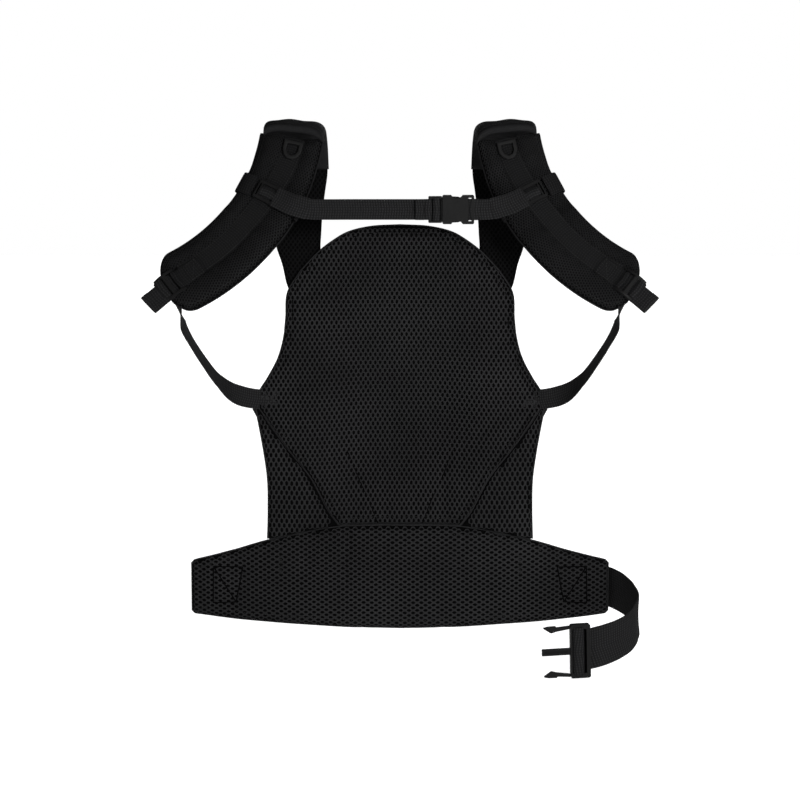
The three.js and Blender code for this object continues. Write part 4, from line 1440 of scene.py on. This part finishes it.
@dataclass
class Shoulder:
    """One shoulder strap, drawn for the left and mirrored for the right."""

    kit: Kit
    side: str
    tilt: float = math.atan(0.397)
    radius: float = 239.0
    half: float = 37.0
    top_angle: float = math.radians(-8.5)
    tip_angle: float = math.radians(-67)
    slider_angle: float = math.radians(-27.3)
    front: float = -2.0
    back: float = -17.0
    lock_spot: tuple[float, float] = (-239, -145)
    lock_along: tuple[float, float] = (-0.788, -0.616)
    band_path: Line = (
        (-21.5, 3.2), (-30, 2), (-37.5, -2), (-40.5, -8), (-37.5, -15), (-28, -19.2), (0, -19.6), (28, -19.2),
        (37.5, -15), (40.5, -8), (38.2, -3.2))
    side_start: Route = ((33, 10, -13), (36, 17, -15), (40, 25, -18))
    side_start_across: Route = ((0.4, 0, -1), (0.3, 0, -1), (0.1, 0, -1))
    side_middle: Route = (
        (-252.5, -67, 311), (-245, -56, 292), (-232, -42, 267), (-216, -24, 241), (-201, -8, 224.5),
        (-187, 3, 217), (-174, 9.5, 213.5), (-164, 14.5, 212), (-148, 15.5, 211.5))
    side_across: Route = (
        (0.2, 1, 0.1), (0.1, 1, 0.15), (0.05, 1, 0.3), (0, 0.9, 0.55), (0.05, 0.5, 0.85), (0.1, 0.15, 1),
        (0.08, 0, 1), (0.06, 0, 1), (0.06, 0, 1))
    rear_outer: Route = (
        (-130, 17, 336), (-136, 18, 350), (-141, 21, 372), (-150, 26, 400), (-157, 36, 440),
        (-159.5, 46, 478), (-160, 46.5, 491))
    rear_inner: Route = (
        (-90, 18, 372), (-95, 20, 390), (-94.5, 26, 410), (-93, 34, 435), (-90, 42, 460), (-87.5, 46, 478),
        (-87, 46.5, 491))
    cap_path: Line = (
        (53.5, 486), (54, 505), (48, 524), (33, 537), (14, 541.5), (-4, 540.5), (-11.5, 533))

    def __post_init__(self) -> None:
        """Works out the strap plane and which way round the side is."""
        self.mirror = self.side == "right"
        self.sign = np.array([-1.0 if self.mirror else 1.0, 1, 1])
        self.up = np.array([0, math.sin(self.tilt), math.cos(self.tilt)])
        self.out = np.array([0, -math.cos(self.tilt), math.sin(self.tilt)])
        self.length = self.radius * (self.top_angle - self.tip_angle)

    def plane(self, x: Array, t: Array, d: Array) -> Array:
        """Points of the left strap's plane: x across, t up the plane and d out towards the wearer."""
        x, t, d = np.broadcast_arrays(np.asarray(x, float), t, d)
        origin = np.array([0, -16.0, 508.0])
        return origin + np.stack([x, x * 0, x * 0], -1) + t[..., None] * self.up + d[..., None] * self.out

    def pad_point(self, angle: Array, across: Array, d: Array) -> Array:
        """Points of the left pad, round its arc, across it and out of it."""
        reach = self.radius + np.asarray(across, float)
        return self.plane(-364 + reach * np.cos(angle), 58 + reach * np.sin(angle), d)

    def webbing_offset(self, angle: Array) -> Array:
        """How far the middle webbing lies from the pad's middle line."""
        return 5 - 10.5 * ease((self.top_angle - np.asarray(angle, float)) / math.radians(30), 0, 1)

    def half_width(self, s: Array) -> Array:
        """Half width of the pad at a distance s above its tip."""
        return self.half * np.sqrt(1 - (1 - np.minimum(1, s / 22)) ** 2 * 0.75)

    def pad_outline(self) -> Array:
        """The pad's flat outline: across, and up from the tip."""
        s = np.linspace(0, self.length, 150)
        half = self.half_width(s)
        across = np.linspace(-1, 1, 24)[1:-1]
        right = np.stack([half, s], 1)
        left = np.stack([-half, s], 1)[::-1]
        tip = np.stack([across * half[0], across * 0], 1)
        top = np.stack([-across * half[-1], across * 0 + self.length], 1)
        return np.vstack([right, top, left, tip])

    def pad_front(self, c: Array, s: Array) -> Array:
        """Height of the pad's face: full beside the webbing, drawn in under it and rolled at its edges."""
        outline = self.pad_outline()
        edge = near_line(c, s, closed_line(outline))
        angle = self.tip_angle + s / self.radius
        away = np.abs(c - self.webbing_offset(angle))
        bulge = 5.6 * np.sqrt(np.clip(1 - ((away - 24) / 13.5) ** 2, 0, 1)) * ease(away, 10, 13)
        pucker = 0.5 * np.sin(s / 3.1 + np.sign(c)) * np.exp(-((away - 14.5) / 4) ** 2)
        bend = 0.7 * np.sin(s / 6.3 + 0.8 * np.sin(s / 19)) * ease(c, 16, 34) * ease(edge, 1, 7)
        seam = 0.9 * np.exp(-((edge - 5.5) / 1.5) ** 2)
        travel = np.abs(s - (self.slider_angle - self.tip_angle) * self.radius)
        slider = 2.9 * (1 - ease(travel, 30, 48)) * ease(away, 10, 14)
        soft = 0.5 * np.sin(s / 24 + c / 13)
        return self.front + bulge + pucker + bend + soft - seam - slider - round_off(edge, 14, 9)

    def pad_place(self, c: Array, s: Array) -> Array:
        """Points of the pad's face on this side."""
        return self.pad_point(self.tip_angle + s / self.radius, c, self.pad_front(c, s)) * self.sign

    def build(self) -> None:
        """Builds the strap's parts from the panel round to the panel again."""
        self.build_rear()
        self.build_cap()
        self.build_pad()
        self.build_webbing()
        self.build_slider()
        self.build_lock()
        self.build_side_webbing()

    def named(self, word: str) -> str:
        """The side's name for a piece."""
        return f"{self.side}_{word}"

    def lay(self, word: str, middle: Sequence[Array], across: Sequence[Array], width: float, finish: Material,
            body: str = "root", node: str = "", **sizes: float) -> None:
        """Lays a strip of webbing on this side.

        Args:
            word: the piece's name, without the side.
            middle: points along its middle, drawn for the left.
            across: directions across it at those points.
            width: its width.
            finish: its finish.
            body: the body that it rides.
            node: the CAD node that it stands for, without the side.
            sizes: the ribbon's other sizes.
        """
        strip = Ribbon(self.named(word), middle, across, width, **sizes)
        nodes = (self.named(node),) if node else ()
        Piece(strip.build(finish, self.mirror), body, nodes, "webbing").place()

    def build_pad(self) -> None:
        """The foam pad and the knit over its face."""
        outline = self.pad_outline()
        u, s = np.meshgrid(np.linspace(-1, 1, 60), np.linspace(0, self.length, 190))
        c = u * self.half_width(s)
        angle = self.tip_angle + s / self.radius
        edge = near_line(c, s, closed_line(outline))
        face = self.pad_front(c, s) - 1.3
        rear = np.minimum(self.back + round_off(edge, 10, 4) + 0.4 * np.sin(s / 14), face - 1.4)
        front = self.pad_point(angle, c, face) * self.sign
        back = self.pad_point(angle, c, rear) * self.sign
        # the filling's face under the knit is the painted hole shade
        body = pillow(self.named("pad_filling"), front, back, self.kit.depth, self.kit.cloth)
        nodes = [self.named(n) for n in ("pad_mesh", "pad_foam", "pad_back")]
        Piece(body, nodes=nodes, slot="smooth_cloth").place()
        # the pad's knit and piping take the darker knit: painted shade on the pads
        skin = Skin(self.named("pad_painted_shade_knit"), outline, self.pad_place, (3.4, 5.2), hole=0.62, narrowing=0.8,
                    sink=0.4, thick=0.9, flip=self.mirror)
        knit = skin.build(self.kit.perforator, self.kit.pad_painted_shade_knit)
        sheet = (knit, flat_area(outline))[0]
        Piece(sheet, slot="air_mesh").place()
        line = self.pad_place(outline[:, 0], outline[:, 1]) - self.out
        border = piping(self.named("pad_piping"), line, 1.1, self.kit.pad_painted_shade_knit, True)
        Piece(border, slot="air_mesh").place()

    def build_webbing(self) -> None:
        """The webbing down the middle of the pad, its two sewn rows and the rubber loop near its top."""
        angle = np.linspace(math.radians(-62), math.radians(-9.5), 24)
        offset = self.webbing_offset(angle)
        middle = self.pad_point(angle, offset, self.front + 1.2)
        nearby = self.pad_point(angle, offset + 1, self.front + 1.2)
        # the pad's webbing is the darker copy: painted shade
        self.lay("strap_tape", middle, nearby - middle, 25, self.kit.pad_painted_shade_webbing, node="strap_webbing",
                 steps=150)
        fine = np.linspace(angle[0] + 0.01, angle[-1] - 0.01, 160)
        rows = [self.pad_point(fine, self.webbing_offset(fine) + side * 10.3, self.front + 2.3) * self.sign
                for side in (-1, 1)]
        s = np.linspace(8, self.length - 5, 180)
        for side in (-1, 1):
            c = side * (self.half_width(s) - 5.5)
            rows.append(self.pad_place(c, s) + self.out * 0.2)
        sew(self.kit, self.named("pad_stitching"), rows, 0.6)
        loop = softened(self.named("rubber_loop"), self.kit.rubber, 0.9)
        Piece(loop, nodes=(self.named("rubber_loop"),), slot="rubber").place()

    def build_slider(self) -> None:
        """The slider and the band that carries it round the pad."""
        body = self.named("slider")
        Piece(softened(body, self.kit.plastic, 0.8), body, (body,), "plastic").place()
        place = float(self.webbing_offset(self.slider_angle))
        rise = [(9.5, 0.9), (7, 1.4), (4.5, 3.6), (2, 4.9)]
        humps = [(-s, d) for s, d in rise] + [(0, 5.2)] + rise[::-1]
        middle = [self.pad_point(self.slider_angle + s / self.radius, place, d) for s, d in humps]
        side = self.pad_point(self.slider_angle, 1, 0) - self.pad_point(self.slider_angle, 0, 0)
        self.lay("slider_turn", middle, [side] * len(middle), 20.4, self.kit.narrow_webbing, body,
                 thick=1.3, steps=40, wave=0.02)
        middle = np.array([self.pad_point(self.slider_angle, c, d) for c, d in self.band_path])
        step = self.pad_point(self.slider_angle - 0.01, 0, 0) - self.pad_point(self.slider_angle + 0.01, 0, 0)
        # the chest band is the darker webbing: painted shade
        self.lay("chest_band_tape", middle, [step] * len(middle), 25, self.kit.pad_painted_shade_webbing, body,
                 "chest_band", thick=1.4, steps=130)

    def cap_surface(self, u: Array, v: Array, w: Array) -> Array:
        """Points of the cap: u across, v from the back over the shoulder to the lip, w through its thickness.

        Args:
            u: from -1 at the outer side to 1 at the inner side.
            v: from 0 to 1.
            w: -1 on the outer face and 1 on the inner face.

        Returns:
            The points, on this side.
        """
        line = smooth_path(self.cap_path, 200)
        marks = np.linspace(0, 1, 200)
        y = np.interp(v, marks, line[:, 0])
        z = np.interp(v, marks, line[:, 1])
        along = unit(np.gradient(line, axis=0))
        dy = np.interp(v, marks, along[:, 0])
        dz = np.interp(v, marks, along[:, 1])
        half = 37.5 - 2 * v
        crown = -7 * u ** 4 * ease(v, 0.15, 0.5)
        slope = (-3.5 * u - 9 * np.clip(u - 0.35, 0, 1) ** 2) * ease(v, 0.6, 1)
        lip = 1.0 * np.exp(-((v - 0.965) / 0.03) ** 2) - 0.9 * np.exp(-((v - 0.915) / 0.018) ** 2)
        pleats = 0.8 * np.sin(u * 7 + 3 * v) * ease(v, 0.3, 0.8) * (1 - ease(v, 0.86, 0.93)) * (1 - u ** 6)
        edge = (1 - np.abs(u)) * half
        thin = 4.5 - round_off(np.minimum(edge, np.minimum(v, 1 - v) * 110), 6, 3.6)
        inward = w * thin - (lip + pleats) * (w < 0)
        x = -123 - 2 * v + u * half
        return np.stack([x, y - dz * inward, z + dy * inward + crown + slope], -1) * self.sign

    def build_cap(self) -> None:
        """The cloth cap over the top of the shoulder, with its rolled and stitched lip."""
        u, v = np.meshgrid(np.linspace(-1, 1, 60), np.linspace(0, 1, 110))
        outer = self.cap_surface(u, v, -np.ones_like(u))
        inner = self.cap_surface(u, v, np.ones_like(u))
        body = pillow(self.named("shoulder_cap_cloth"), outer, inner, self.kit.cloth)
        Piece(body, nodes=(self.named("shoulder_cap"),), slot="smooth_cloth").place()
        across = np.linspace(-0.93, 0.93, 60)
        rows = [self.cap_surface(across, np.full(60, mark), -np.ones(60)) for mark in (0.915, 0.08)]
        rows = [row - [0, 0.15, 0] for row in rows]
        sew(self.kit, self.named("cap_stitching"), rows)

    def build_rear(self) -> None:
        """The rear strap that runs up behind the panel to the cap."""
        outer = smooth_path(self.rear_outer, 60)
        inner = smooth_path(self.rear_inner, 60)
        share = np.linspace(0, 1, 30)
        grid = outer[:, None] + (inner - outer)[:, None] * share[None, :, None]
        x, y, z = grid[..., 0], grid[..., 1] + 6.5, grid[..., 2]
        terms = [(i, j) for i in range(4) for j in range(4 - i)]

        def design(px: Array, pz: Array) -> Array:
            """Powers of the flat place, for the fitted depth."""
            a, b = (np.ravel(px) + 125) / 50, (np.ravel(pz) - 420) / 70
            return np.stack([a ** i * b ** j for i, j in terms], 1)

        fit = np.linalg.lstsq(design(x, z), y.ravel(), rcond=None)[0]
        outline = grid_border(x, z)

        def depth(px: Array, pz: Array) -> Array:
            """Depth of the strap's face."""
            flat = (design(px, pz) @ fit).reshape(np.shape(px))
            edge = near_line(px, pz, closed_line(outline))
            hem = 0.9 * np.exp(-((edge - 6) / 1.6) ** 2)
            return flat + round_off(edge, 5, 2.4) + hem + 0.4 * np.sin(pz / 12 + px / 15)

        def place(px: Array, pz: Array) -> Array:
            """Points of the strap's face, on this side."""
            return np.stack([px, depth(px, pz), pz], -1) * self.sign

        front = np.stack([x, depth(x, z) + 1.2, z], -1) * self.sign
        back = np.stack([x, np.maximum(y + 7, front[..., 1] + 1), z], -1) * self.sign
        # the lining's face under the knit is the painted hole shade
        body = pillow(self.named("rear_strap_lining"), front, back, self.kit.depth, self.kit.cloth)
        Piece(body, nodes=(self.named("rear_strap"),), slot="air_mesh").place()
        skin = Skin(self.named("rear_strap_knit"), outline, place, (5.3, 7.2), hole=0.72, flip=self.mirror)
        # the rear strap's knit is the darker copy: painted shade behind the panel
        knit = skin.build(self.kit.perforator, self.kit.painted_shade_strap_knit)
        sheet = (knit, flat_area(outline))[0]
        Piece(sheet, slot="air_mesh").place()

    def lock_frame(self, along: float, across: float, d: float, tilt: float = 0.0,
                   yaw: float = 0.0) -> Callable[[float, float, float], Array]:
        """A flat place at the strap's lower end.

        Args:
            along: distance down the webbing from the sewn box.
            across: distance across it.
            d: distance out.
            tilt: turn about the sideways axis.
            yaw: turn about the upward axis of the tilted place.

        Returns:
            A function from local x, y and z to a point of the left strap.
        """
        ax, at = self.lock_along
        x = self.lock_spot[0] + along * ax - across * at
        t = self.lock_spot[1] + along * at + across * ax
        up = -(np.array([ax, 0, 0]) + self.up * at)
        basis = np.stack([np.cross(-self.out, up), -self.out, up], 1)
        ct, st, cy, sy = math.cos(tilt), math.sin(tilt), math.cos(yaw), math.sin(yaw)
        tilting = np.array([[1, 0, 0], [0, ct, -st], [0, st, ct]])
        yawing = np.array([[cy, 0, sy], [0, 1, 0], [-sy, 0, cy]])
        turned = basis @ tilting @ yawing
        origin = self.plane(x, t, d)
        return lambda px, py, pz: origin + turned @ np.array([px, py, pz], float)

    def build_lock(self) -> None:
        """The sewn tab, the ladder lock and the free tail below it."""
        tab = self.lock_frame(0, -2, 2.4)
        sideways = tab(1, 0, 0) - tab(0, 0, 0)
        marks = [(11, 0.0), (5, 0), (-2, 0), (-9, 0), (-15, -0.6), (-18.5, -2.4), (-20.6, -4.2),
                 (-22.6, -4.4), (-24.4, -3.2), (-24.8, -1.0), (-23.4, 0.8), (-19.5, 1.3), (-14, 1.4)]
        middle = [tab(0, y, z) for z, y in marks]
        # the lock tab is the darker webbing: painted shade
        self.lay("lock_tab_tape", middle, [sideways] * len(marks), 22, self.kit.pad_painted_shade_webbing, node="lock_tab",
                 thick=1.5, steps=90, wave=0.05)
        corners = np.array([(-9.5, 9), (9.5, 9), (9.5, -7), (-9.5, -7), (-9.5, 9), (9.5, -7)], float)
        legs = polyline(corners, 2)
        row = np.array([tab(a, -1.15, b) for a, b in legs]) * self.sign
        sew(self.kit, self.named("tab_stitching"), [row])
        lock = self.named("ladder_lock")
        Piece(softened(lock, self.kit.plastic, 1.1), lock, (lock,), "plastic").place()
        inner = self.lock_frame(22, -2.5, 4.8)
        sideways = inner(1, 0, 0) - inner(0, 0, 0)
        turn = [(-3.0, 3.2), (-6, 1.6), (-9, 0.4), (-12.5, 0.2), (-15, -0.8), (-17.0, -3.2), (-19.6, -4.2),
                (-22.4, -3.6), (-25.0, -1.6)]
        middle = [inner(0, y, z) for z, y in turn]
        self.lay("lock_turn", middle, [sideways] * len(turn), 23.4, self.kit.narrow_webbing, lock,
                 thick=1.5, steps=90, wave=0.02)
        tail = self.lock_frame(46.5, 1, 7.2, math.radians(-8), math.radians(-6))
        sideways = tail(1, 0, 0) - tail(0, 0, 0)
        fold = [(2.2, 25), (2.1, 17), (1.4, 9), (0.2, 0), (0, -8), (0, -16), (-0.2, -19.6), (-0.95, -20.7),
                (-1.75, -19.6), (-1.9, -16), (-1.9, -12)]
        middle = [tail(0, y, z) for y, z in fold]
        self.lay("tail_tape", middle, [sideways] * len(fold), 24.8, self.kit.narrow_webbing,
                 self.named("adjuster_tail"), "adjuster_tail", steps=90, wave=0.05)

    def build_side_webbing(self) -> None:
        """The webbing from the ladder lock down to the panel's wing, turning edge-on on the way."""
        origin = self.plane(*self.lock_spot, 0)
        ax, at = self.lock_along

        def turned(along: float, across: float, d: float) -> Array:
            """A direction given along the webbing, across it and out of the strap plane."""
            x = ax * along - at * across
            return np.array([x, 0, 0]) + self.up * (at * along + ax * across) + self.out * d

        middle = [turned(*spot) + origin for spot in self.side_start] + list(np.array(self.side_middle))
        across = [turned(*way) for way in self.side_start_across] + list(np.array(self.side_across))
        strip = Ribbon(self.named("side_tape"), middle, across, 24, steps=150)
        made = strip.build(self.kit.narrow_webbing, self.mirror)
        start, end = middle[0] * self.sign, middle[5] * self.sign
        lock, node = self.named("ladder_lock"), self.named("side_webbing")
        Piece(made, lock, (node,), "webbing", "root", start, end).place()


# ---------------------------------------------------------------- chest strap and waist buckle


@dataclass
class ChestStrap:
    """The chest strap: its two webbings, the side-release buckle and the loose tail."""

    kit: Kit
    left: Shoulder
    height: float = 444.0
    depth: float = -46.0
    plug_x: float = 33.0
    socket_end: float = 86.6

    def end_strip(self, straight: Sequence[float]) -> tuple[list, list]:
        """Middle line and across directions from the left slider to places on the straight part."""
        angle = self.left.slider_angle
        offset = float(self.left.webbing_offset(angle))
        slope = unit(self.left.pad_point(angle + 0.01, 0, 0) - self.left.pad_point(angle - 0.01, 0, 0))
        upright = np.array([0, 0, 1.0])
        middle = [self.left.pad_point(angle, offset + c, d) for c, d in ((8.0, 4.6), (16.5, 4.6), (30, 5.6))]
        middle += [np.array([-106, self.depth, self.height + 0.6])]
        middle += [np.array([x, self.depth, self.height]) for x in straight]
        across = [slope, slope, slope * 0.75 + upright * 0.25, upright] + [upright] * len(straight)
        return middle, across

    def build(self) -> None:
        """Builds the strap from side to side."""
        for side, straight, far in (("left", [-92, -60, -20], -55), ("right", [-92, -self.socket_end], 92)):
            middle, across = self.end_strip(straight)
            strip = Ribbon(f"{side}_chest_tape", middle, across, 24, steps=120)
            made = strip.build(self.kit.narrow_webbing, side == "right")
            sign = -1 if side == "right" else 1
            near, end = middle[1] * [sign, 1, 1], (far, self.depth, self.height)
            body = f"{side}_slider"
            Piece(made, body, (f"{side}_chest_webbing",), "webbing", "root", near, end).place()
            loop_middle, loop_across = self.end_strip([])
            loop_middle = [point + [0, -1.8, 0] for point in loop_middle]
            loop_middle[-1] = loop_middle[-1] + [-1.5, 0.4, 0]
            loop = Ribbon(f"{side}_chest_loop", loop_middle, loop_across, 25, thick=1.5, steps=60)
            made = loop.build(self.kit.narrow_webbing, side == "right")
            Piece(made, body, (), "webbing", "root", near, end).place()
        pull = [(-20.5, 0), (0, 0), (20, 0.3), (29, 1.6), (34, 3.9), (36.2, 3.7)]
        middle = [(x, self.depth + y, self.height) for x, y in pull]
        made = Ribbon("chest_pull_tape", middle, [(0, 0, 1)] * 6, 24, steps=70).build(self.kit.narrow_webbing)
        start, end = (-19.7, self.depth, self.height), (29, self.depth, self.height)
        Piece(made, "root", ("chest_pull_webbing",), "webbing", "chest_plug", start, end).place()
        wrap = [(36.2, 4.0), (37.6, 2.0), (38.0, -1.2), (39.2, -3.9), (42.3, -5.0), (45.2, -3.9),
                (46.3, -0.6), (46.6, 2.6), (48.4, 4.0)]
        self.strip("chest_bar_wrap", wrap, 27)
        tail = [(36.8, -3.4), (33.5, -4.1), (27, -3.2), (20.5, -2.5), (18.4, -2.9), (18.6, -4.4), (22, -4.6),
                (28, -5.2)]
        made = self.strip("chest_tail_tape", tail, 24)
        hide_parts("chest_tail")
        middle = [(x, self.depth, self.height) for x in (47.5, 50, 52, 54.5)]
        shoulder = Ribbon("chest_plug_shoulder", middle, [(0, 0, 1)] * 4, 28, thick=4.6, steps=8, lanes=4,
                          wave=0)
        Piece(shoulder.build(self.kit.plastic), "chest_plug", (), "plastic").place()
        for node in ("chest_plug", "chest_arm_upper", "chest_arm_lower"):
            Piece(softened(node, self.kit.plastic, 0.5), node, (node,), "plastic").place()
        Piece(softened("chest_socket", self.kit.plastic, 0.8), "root", ("chest_socket",), "plastic").place()
        half_turn = [(92, 1.9), (86.5, 3.6), (83, 4.5), (80, 3.4)]
        turn = [(x, -y) for x, y in half_turn] + [(79.3, 0)] + half_turn[::-1]
        middle = [(x, self.depth + y, self.height) for x, y in turn]
        wrap = Ribbon("chest_socket_wrap", middle, [(0, 0, 1)] * len(turn), 24.5, thick=1.4, steps=80,
                      wave=0.03)
        Piece(wrap.build(self.kit.narrow_webbing), "root", (), "webbing").place()

    def strip(self, name: str, path: Line, width: float) -> Object:
        """A short webbing that moves with the plug, given as x and distance behind the strap's plane."""
        middle = [(x, self.depth + y, self.height) for x, y in path]
        made = Ribbon(name, middle, [(0, 0, 1)] * len(path), width, thick=1.5, steps=80, wave=0.03)
        return Piece(made.build(self.kit.narrow_webbing), "chest_plug", (), "webbing").place()


@dataclass
class WaistStrap:
    """The waist strap's slack turn, its plug, and the socket on the other side."""

    kit: Kit
    top: Route = (
        (250, 47.4, 0.5), (254.7, 47.6, 0.3), (264, 37, -2), (272, 24, -5), (280, 6, -10), (286, -13, -21),
        (284, -26, -30), (276, -39, -37.5), (262, -52, -42), (246, -60.5, -46), (229, -65.2, -49.5),
        (221, -67, -50.5))
    bottom: Route = (
        (250, 47.4, -49.5), (254.7, 47.6, -49.5), (265, 37, -51), (275, 24, -55), (284, 6, -61),
        (287, -13, -69), (282, -26, -77), (273, -39, -84.5), (260, -51, -91), (245, -60, -95.5),
        (229, -65, -99.3), (221, -66.8, -100.5))
    plug_place: tuple[float, float, float] = (225, -71, -75.5)
    guide: tuple[float, float] = (26.0, 56.0)
    yaw: float = math.radians(8)
    roll: float = math.radians(-1.5)
    tab: Route = (
        (-250.2, 47, -24.5), (-252.2, 49.2, -24.5), (-252.4, 52.6, -24.5), (-248, 55.4, -24.5),
        (-238, 55, -24.5), (-225, 53.4, -24.5), (-219.5, 53, -24.5))

    def in_plug(self, x: float, y: float, z: float) -> Array:
        """A point given in the plug's own frame: x from the webbing, y to the front, z up."""
        a, b = self.yaw, self.roll
        about_z = np.array([[math.cos(a), -math.sin(a), 0], [math.sin(a), math.cos(a), 0], [0, 0, 1]])
        about_y = np.array([[math.cos(b), 0, math.sin(b)], [0, 1, 0], [-math.sin(b), 0, math.cos(b)]])
        return np.array(self.plug_place, float) + about_y @ about_z @ np.array([-x, -y, z], float)

    def build(self) -> None:
        """Builds both ends."""
        top, bottom = np.array(self.top, float), np.array(self.bottom, float)
        width = float(np.linalg.norm(top - bottom, axis=1).mean())
        strip = Ribbon("waist_strap_tape", (top + bottom) / 2, top - bottom, width, steps=170, lanes=12,
                       wave=0.3)
        made = strip.build(self.kit.webbing)
        start, end = (262, -50, -66), (224.5, -66, -75)
        Piece(made, "root", ("waist_strap",), "webbing", "waist_plug", start, end).place()
        path = [(1.0, -5.2), (5.4, -4.6), (7.6, -2), (8.2, 1.6), (9.4, 4.4), (11.6, 6.0), (14.5, 6.5),
                (17.4, 6.0), (19.6, 4.4), (20.8, 1.4), (20.6, -2.6), (18.5, -5.2), (9, -6.6)]
        middle = [self.in_plug(x, y, 0) for x, y in path]
        upright = self.in_plug(0, 0, 1) - self.in_plug(0, 0, 0)
        wrap = Ribbon("waist_bar_wrap", middle, [upright] * len(path), 57.5, thick=1.6, steps=110, wave=0.03)
        Piece(wrap.build(self.kit.webbing), "waist_plug", (), "webbing").place()
        near, far = self.guide
        web = [self.in_plug(x, 0, 0) for x in np.linspace(near, far, 5)]
        floor = Ribbon("waist_guide_web", web, [upright] * 5, 3.4, thick=0.8, steps=12, lanes=2, wave=0)
        Piece(floor.build(self.kit.plastic), "waist_plug", (), "plastic").place()
        for node in ("waist_plug", "waist_arm_upper", "waist_arm_lower"):
            Piece(softened(node, self.kit.plastic, 0.8), node, (node,), "plastic").place()
        tab = Ribbon("socket_tape", self.tab, [(0, 0, 1)] * len(self.tab), 50, steps=90, wave=0.05)
        made = tab.build(self.kit.webbing)
        start, end = (-245, 55.2, -24.5), (-223.5, 53, -24.5)
        Piece(made, "root", ("socket_strap",), "webbing", "waist_socket", start, end).place()
        socket = softened("waist_socket", self.kit.plastic, 1.2)
        Piece(socket, "waist_socket", ("waist_socket",), "plastic").place()


# ---------------------------------------------------------------- studio


@dataclass
class Studio:
    """A white floor, soft lights and the camera."""

    floor_height: float = -108.9
    floor_half: float = 6000.0
    target: tuple[float, float, float] = (0, 0.010, 0.212)
    place: tuple[float, float, float] = (0, -2.9608, 0.6295)
    lens: float = 112.5
    sky_edge: float = 0.15
    sky_fall: float = 1.7
    sky_top: float = 0.2
    sky_light: float = 0.10
    backdrop: float = 1.4
    lamps: Sequence[tuple[str, tuple[float, float, float], float, float]] = (
        ("key", (0.80, -1.75, 0.80), 0.5, 38.0),
        ("fill", (-1.3, -1.7, 0.20), 0.7, 7.0),
        ("rim", (1.6, -0.6, 0.9), 0.8, 6.0),
    )

    def build(self) -> None:
        """Builds the floor, the lights, the sky and the camera."""
        half, z = self.floor_half, self.floor_height
        points = np.array([(-half, -half, z), (half, -half, z), (half, half, z), (-half, half, z)])
        floor = mesh_object("studio_floor", points, [(0, 1, 2, 3)], FloorFinish().make())
        world = bpy.data.worlds.new("studio")
        world.use_nodes = True
        tree = world.node_tree
        split = tree.nodes.new("ShaderNodeSeparateXYZ")
        tree.links.new(tree.nodes.new("ShaderNodeTexCoord").outputs["Generated"], split.inputs[0])
        height = Value(tree, split.outputs["Z"])
        strength = (1.0 - (height - self.sky_edge).most(0.0) * self.sky_fall).most(self.sky_top)
        path = tree.nodes.new("ShaderNodeLightPath")
        seen = Value(tree, path.outputs["Is Camera Ray"])
        shine = Value(tree, path.outputs["Is Glossy Ray"]) * Value(tree, split.outputs["Y"]).above(0.8)
        strength = strength * self.sky_light * (1.0 - seen) + seen + shine * self.backdrop
        tree.nodes["Background"].inputs[0].default_value = (1, 1, 1, 1)
        tree.links.new(strength.socket, tree.nodes["Background"].inputs[1])
        bpy.context.scene.world = world
        for name, spot, size, power in self.lamps:
            self.lamp(name, spot, size, power)
        data = bpy.data.cameras.new("view")
        data.lens = self.lens
        data.sensor_width = 36
        camera = bpy.data.objects.new("view", data)
        camera.location = self.place
        aim = Vector(self.target) - Vector(self.place)
        camera.rotation_euler = aim.to_track_quat("-Z", "Y").to_euler()
        bpy.context.scene.collection.objects.link(camera)
        bpy.context.scene.camera = camera
        bpy.context.scene.view_settings.view_transform = "Standard"

    def lamp(self, name: str, spot: tuple[float, float, float], size: float, power: float) -> None:
        """Adds a soft square lamp aimed at the carrier.

        Args:
            name: the lamp's name.
            spot: its place, in metres.
            size: its side, in metres.
            power: its power, in watts.
        """
        data = bpy.data.lights.new(name, "AREA")
        data.size = size
        data.energy = power
        lamp = bpy.data.objects.new(name, data)
        lamp.location = spot
        lamp.rotation_euler = (Vector(self.target) - Vector(spot)).to_track_quat("-Z", "Y").to_euler()
        bpy.context.scene.collection.objects.link(lamp)


def main() -> None:
    """Builds the carrier and the studio."""
    kit = Kit(
        knit=KnitFinish().make(),
        # a darker copy of the knit: painted shade on the shoulder pads
        pad_painted_shade_knit=KnitFinish("pad mesh knit painted shade", 0.0078).make(),
        # a much darker copy of the knit: painted shade on the rear straps behind the panel
        painted_shade_strap_knit=KnitFinish("strap mesh knit painted shade", 0.0030).make(),
        # near-black cloth for the seam cords: painted shade in the seams
        seam_shade_cloth=ClothFinish("seam cloth painted shade", 0.0008).make(),
        # painted shade for the holes of every knit
        depth=HoleShadeFinish().make(),
        cloth=ClothFinish().make(),
        webbing=WebbingFinish("wide webbing").make(),
        narrow_webbing=WebbingFinish("narrow webbing", rib=0.0030).make(),
        # a darker copy of the webbing: painted shade on the webbing over the pads, the chest bands and the
        # lock tabs
        pad_painted_shade_webbing=WebbingFinish("pad webbing painted shade", 0.0062, 0.0030).make(),
        plastic=PlasticFinish().make(),
        rubber=RubberFinish().make(),
        thread=ThreadFinish().make(),
        perforator=Perforator(),
        stitcher=Stitcher(),
    )
    band = Waistband(kit)
    band.build()
    Panel(kit, band).build()
    shoulders = [Shoulder(kit, side) for side in ("left", "right")]
    for shoulder in shoulders:
        shoulder.build()
    ChestStrap(kit, shoulders[0]).build()
    WaistStrap(kit).build()
    Studio().build()


if __name__ == "__main__":
    main()
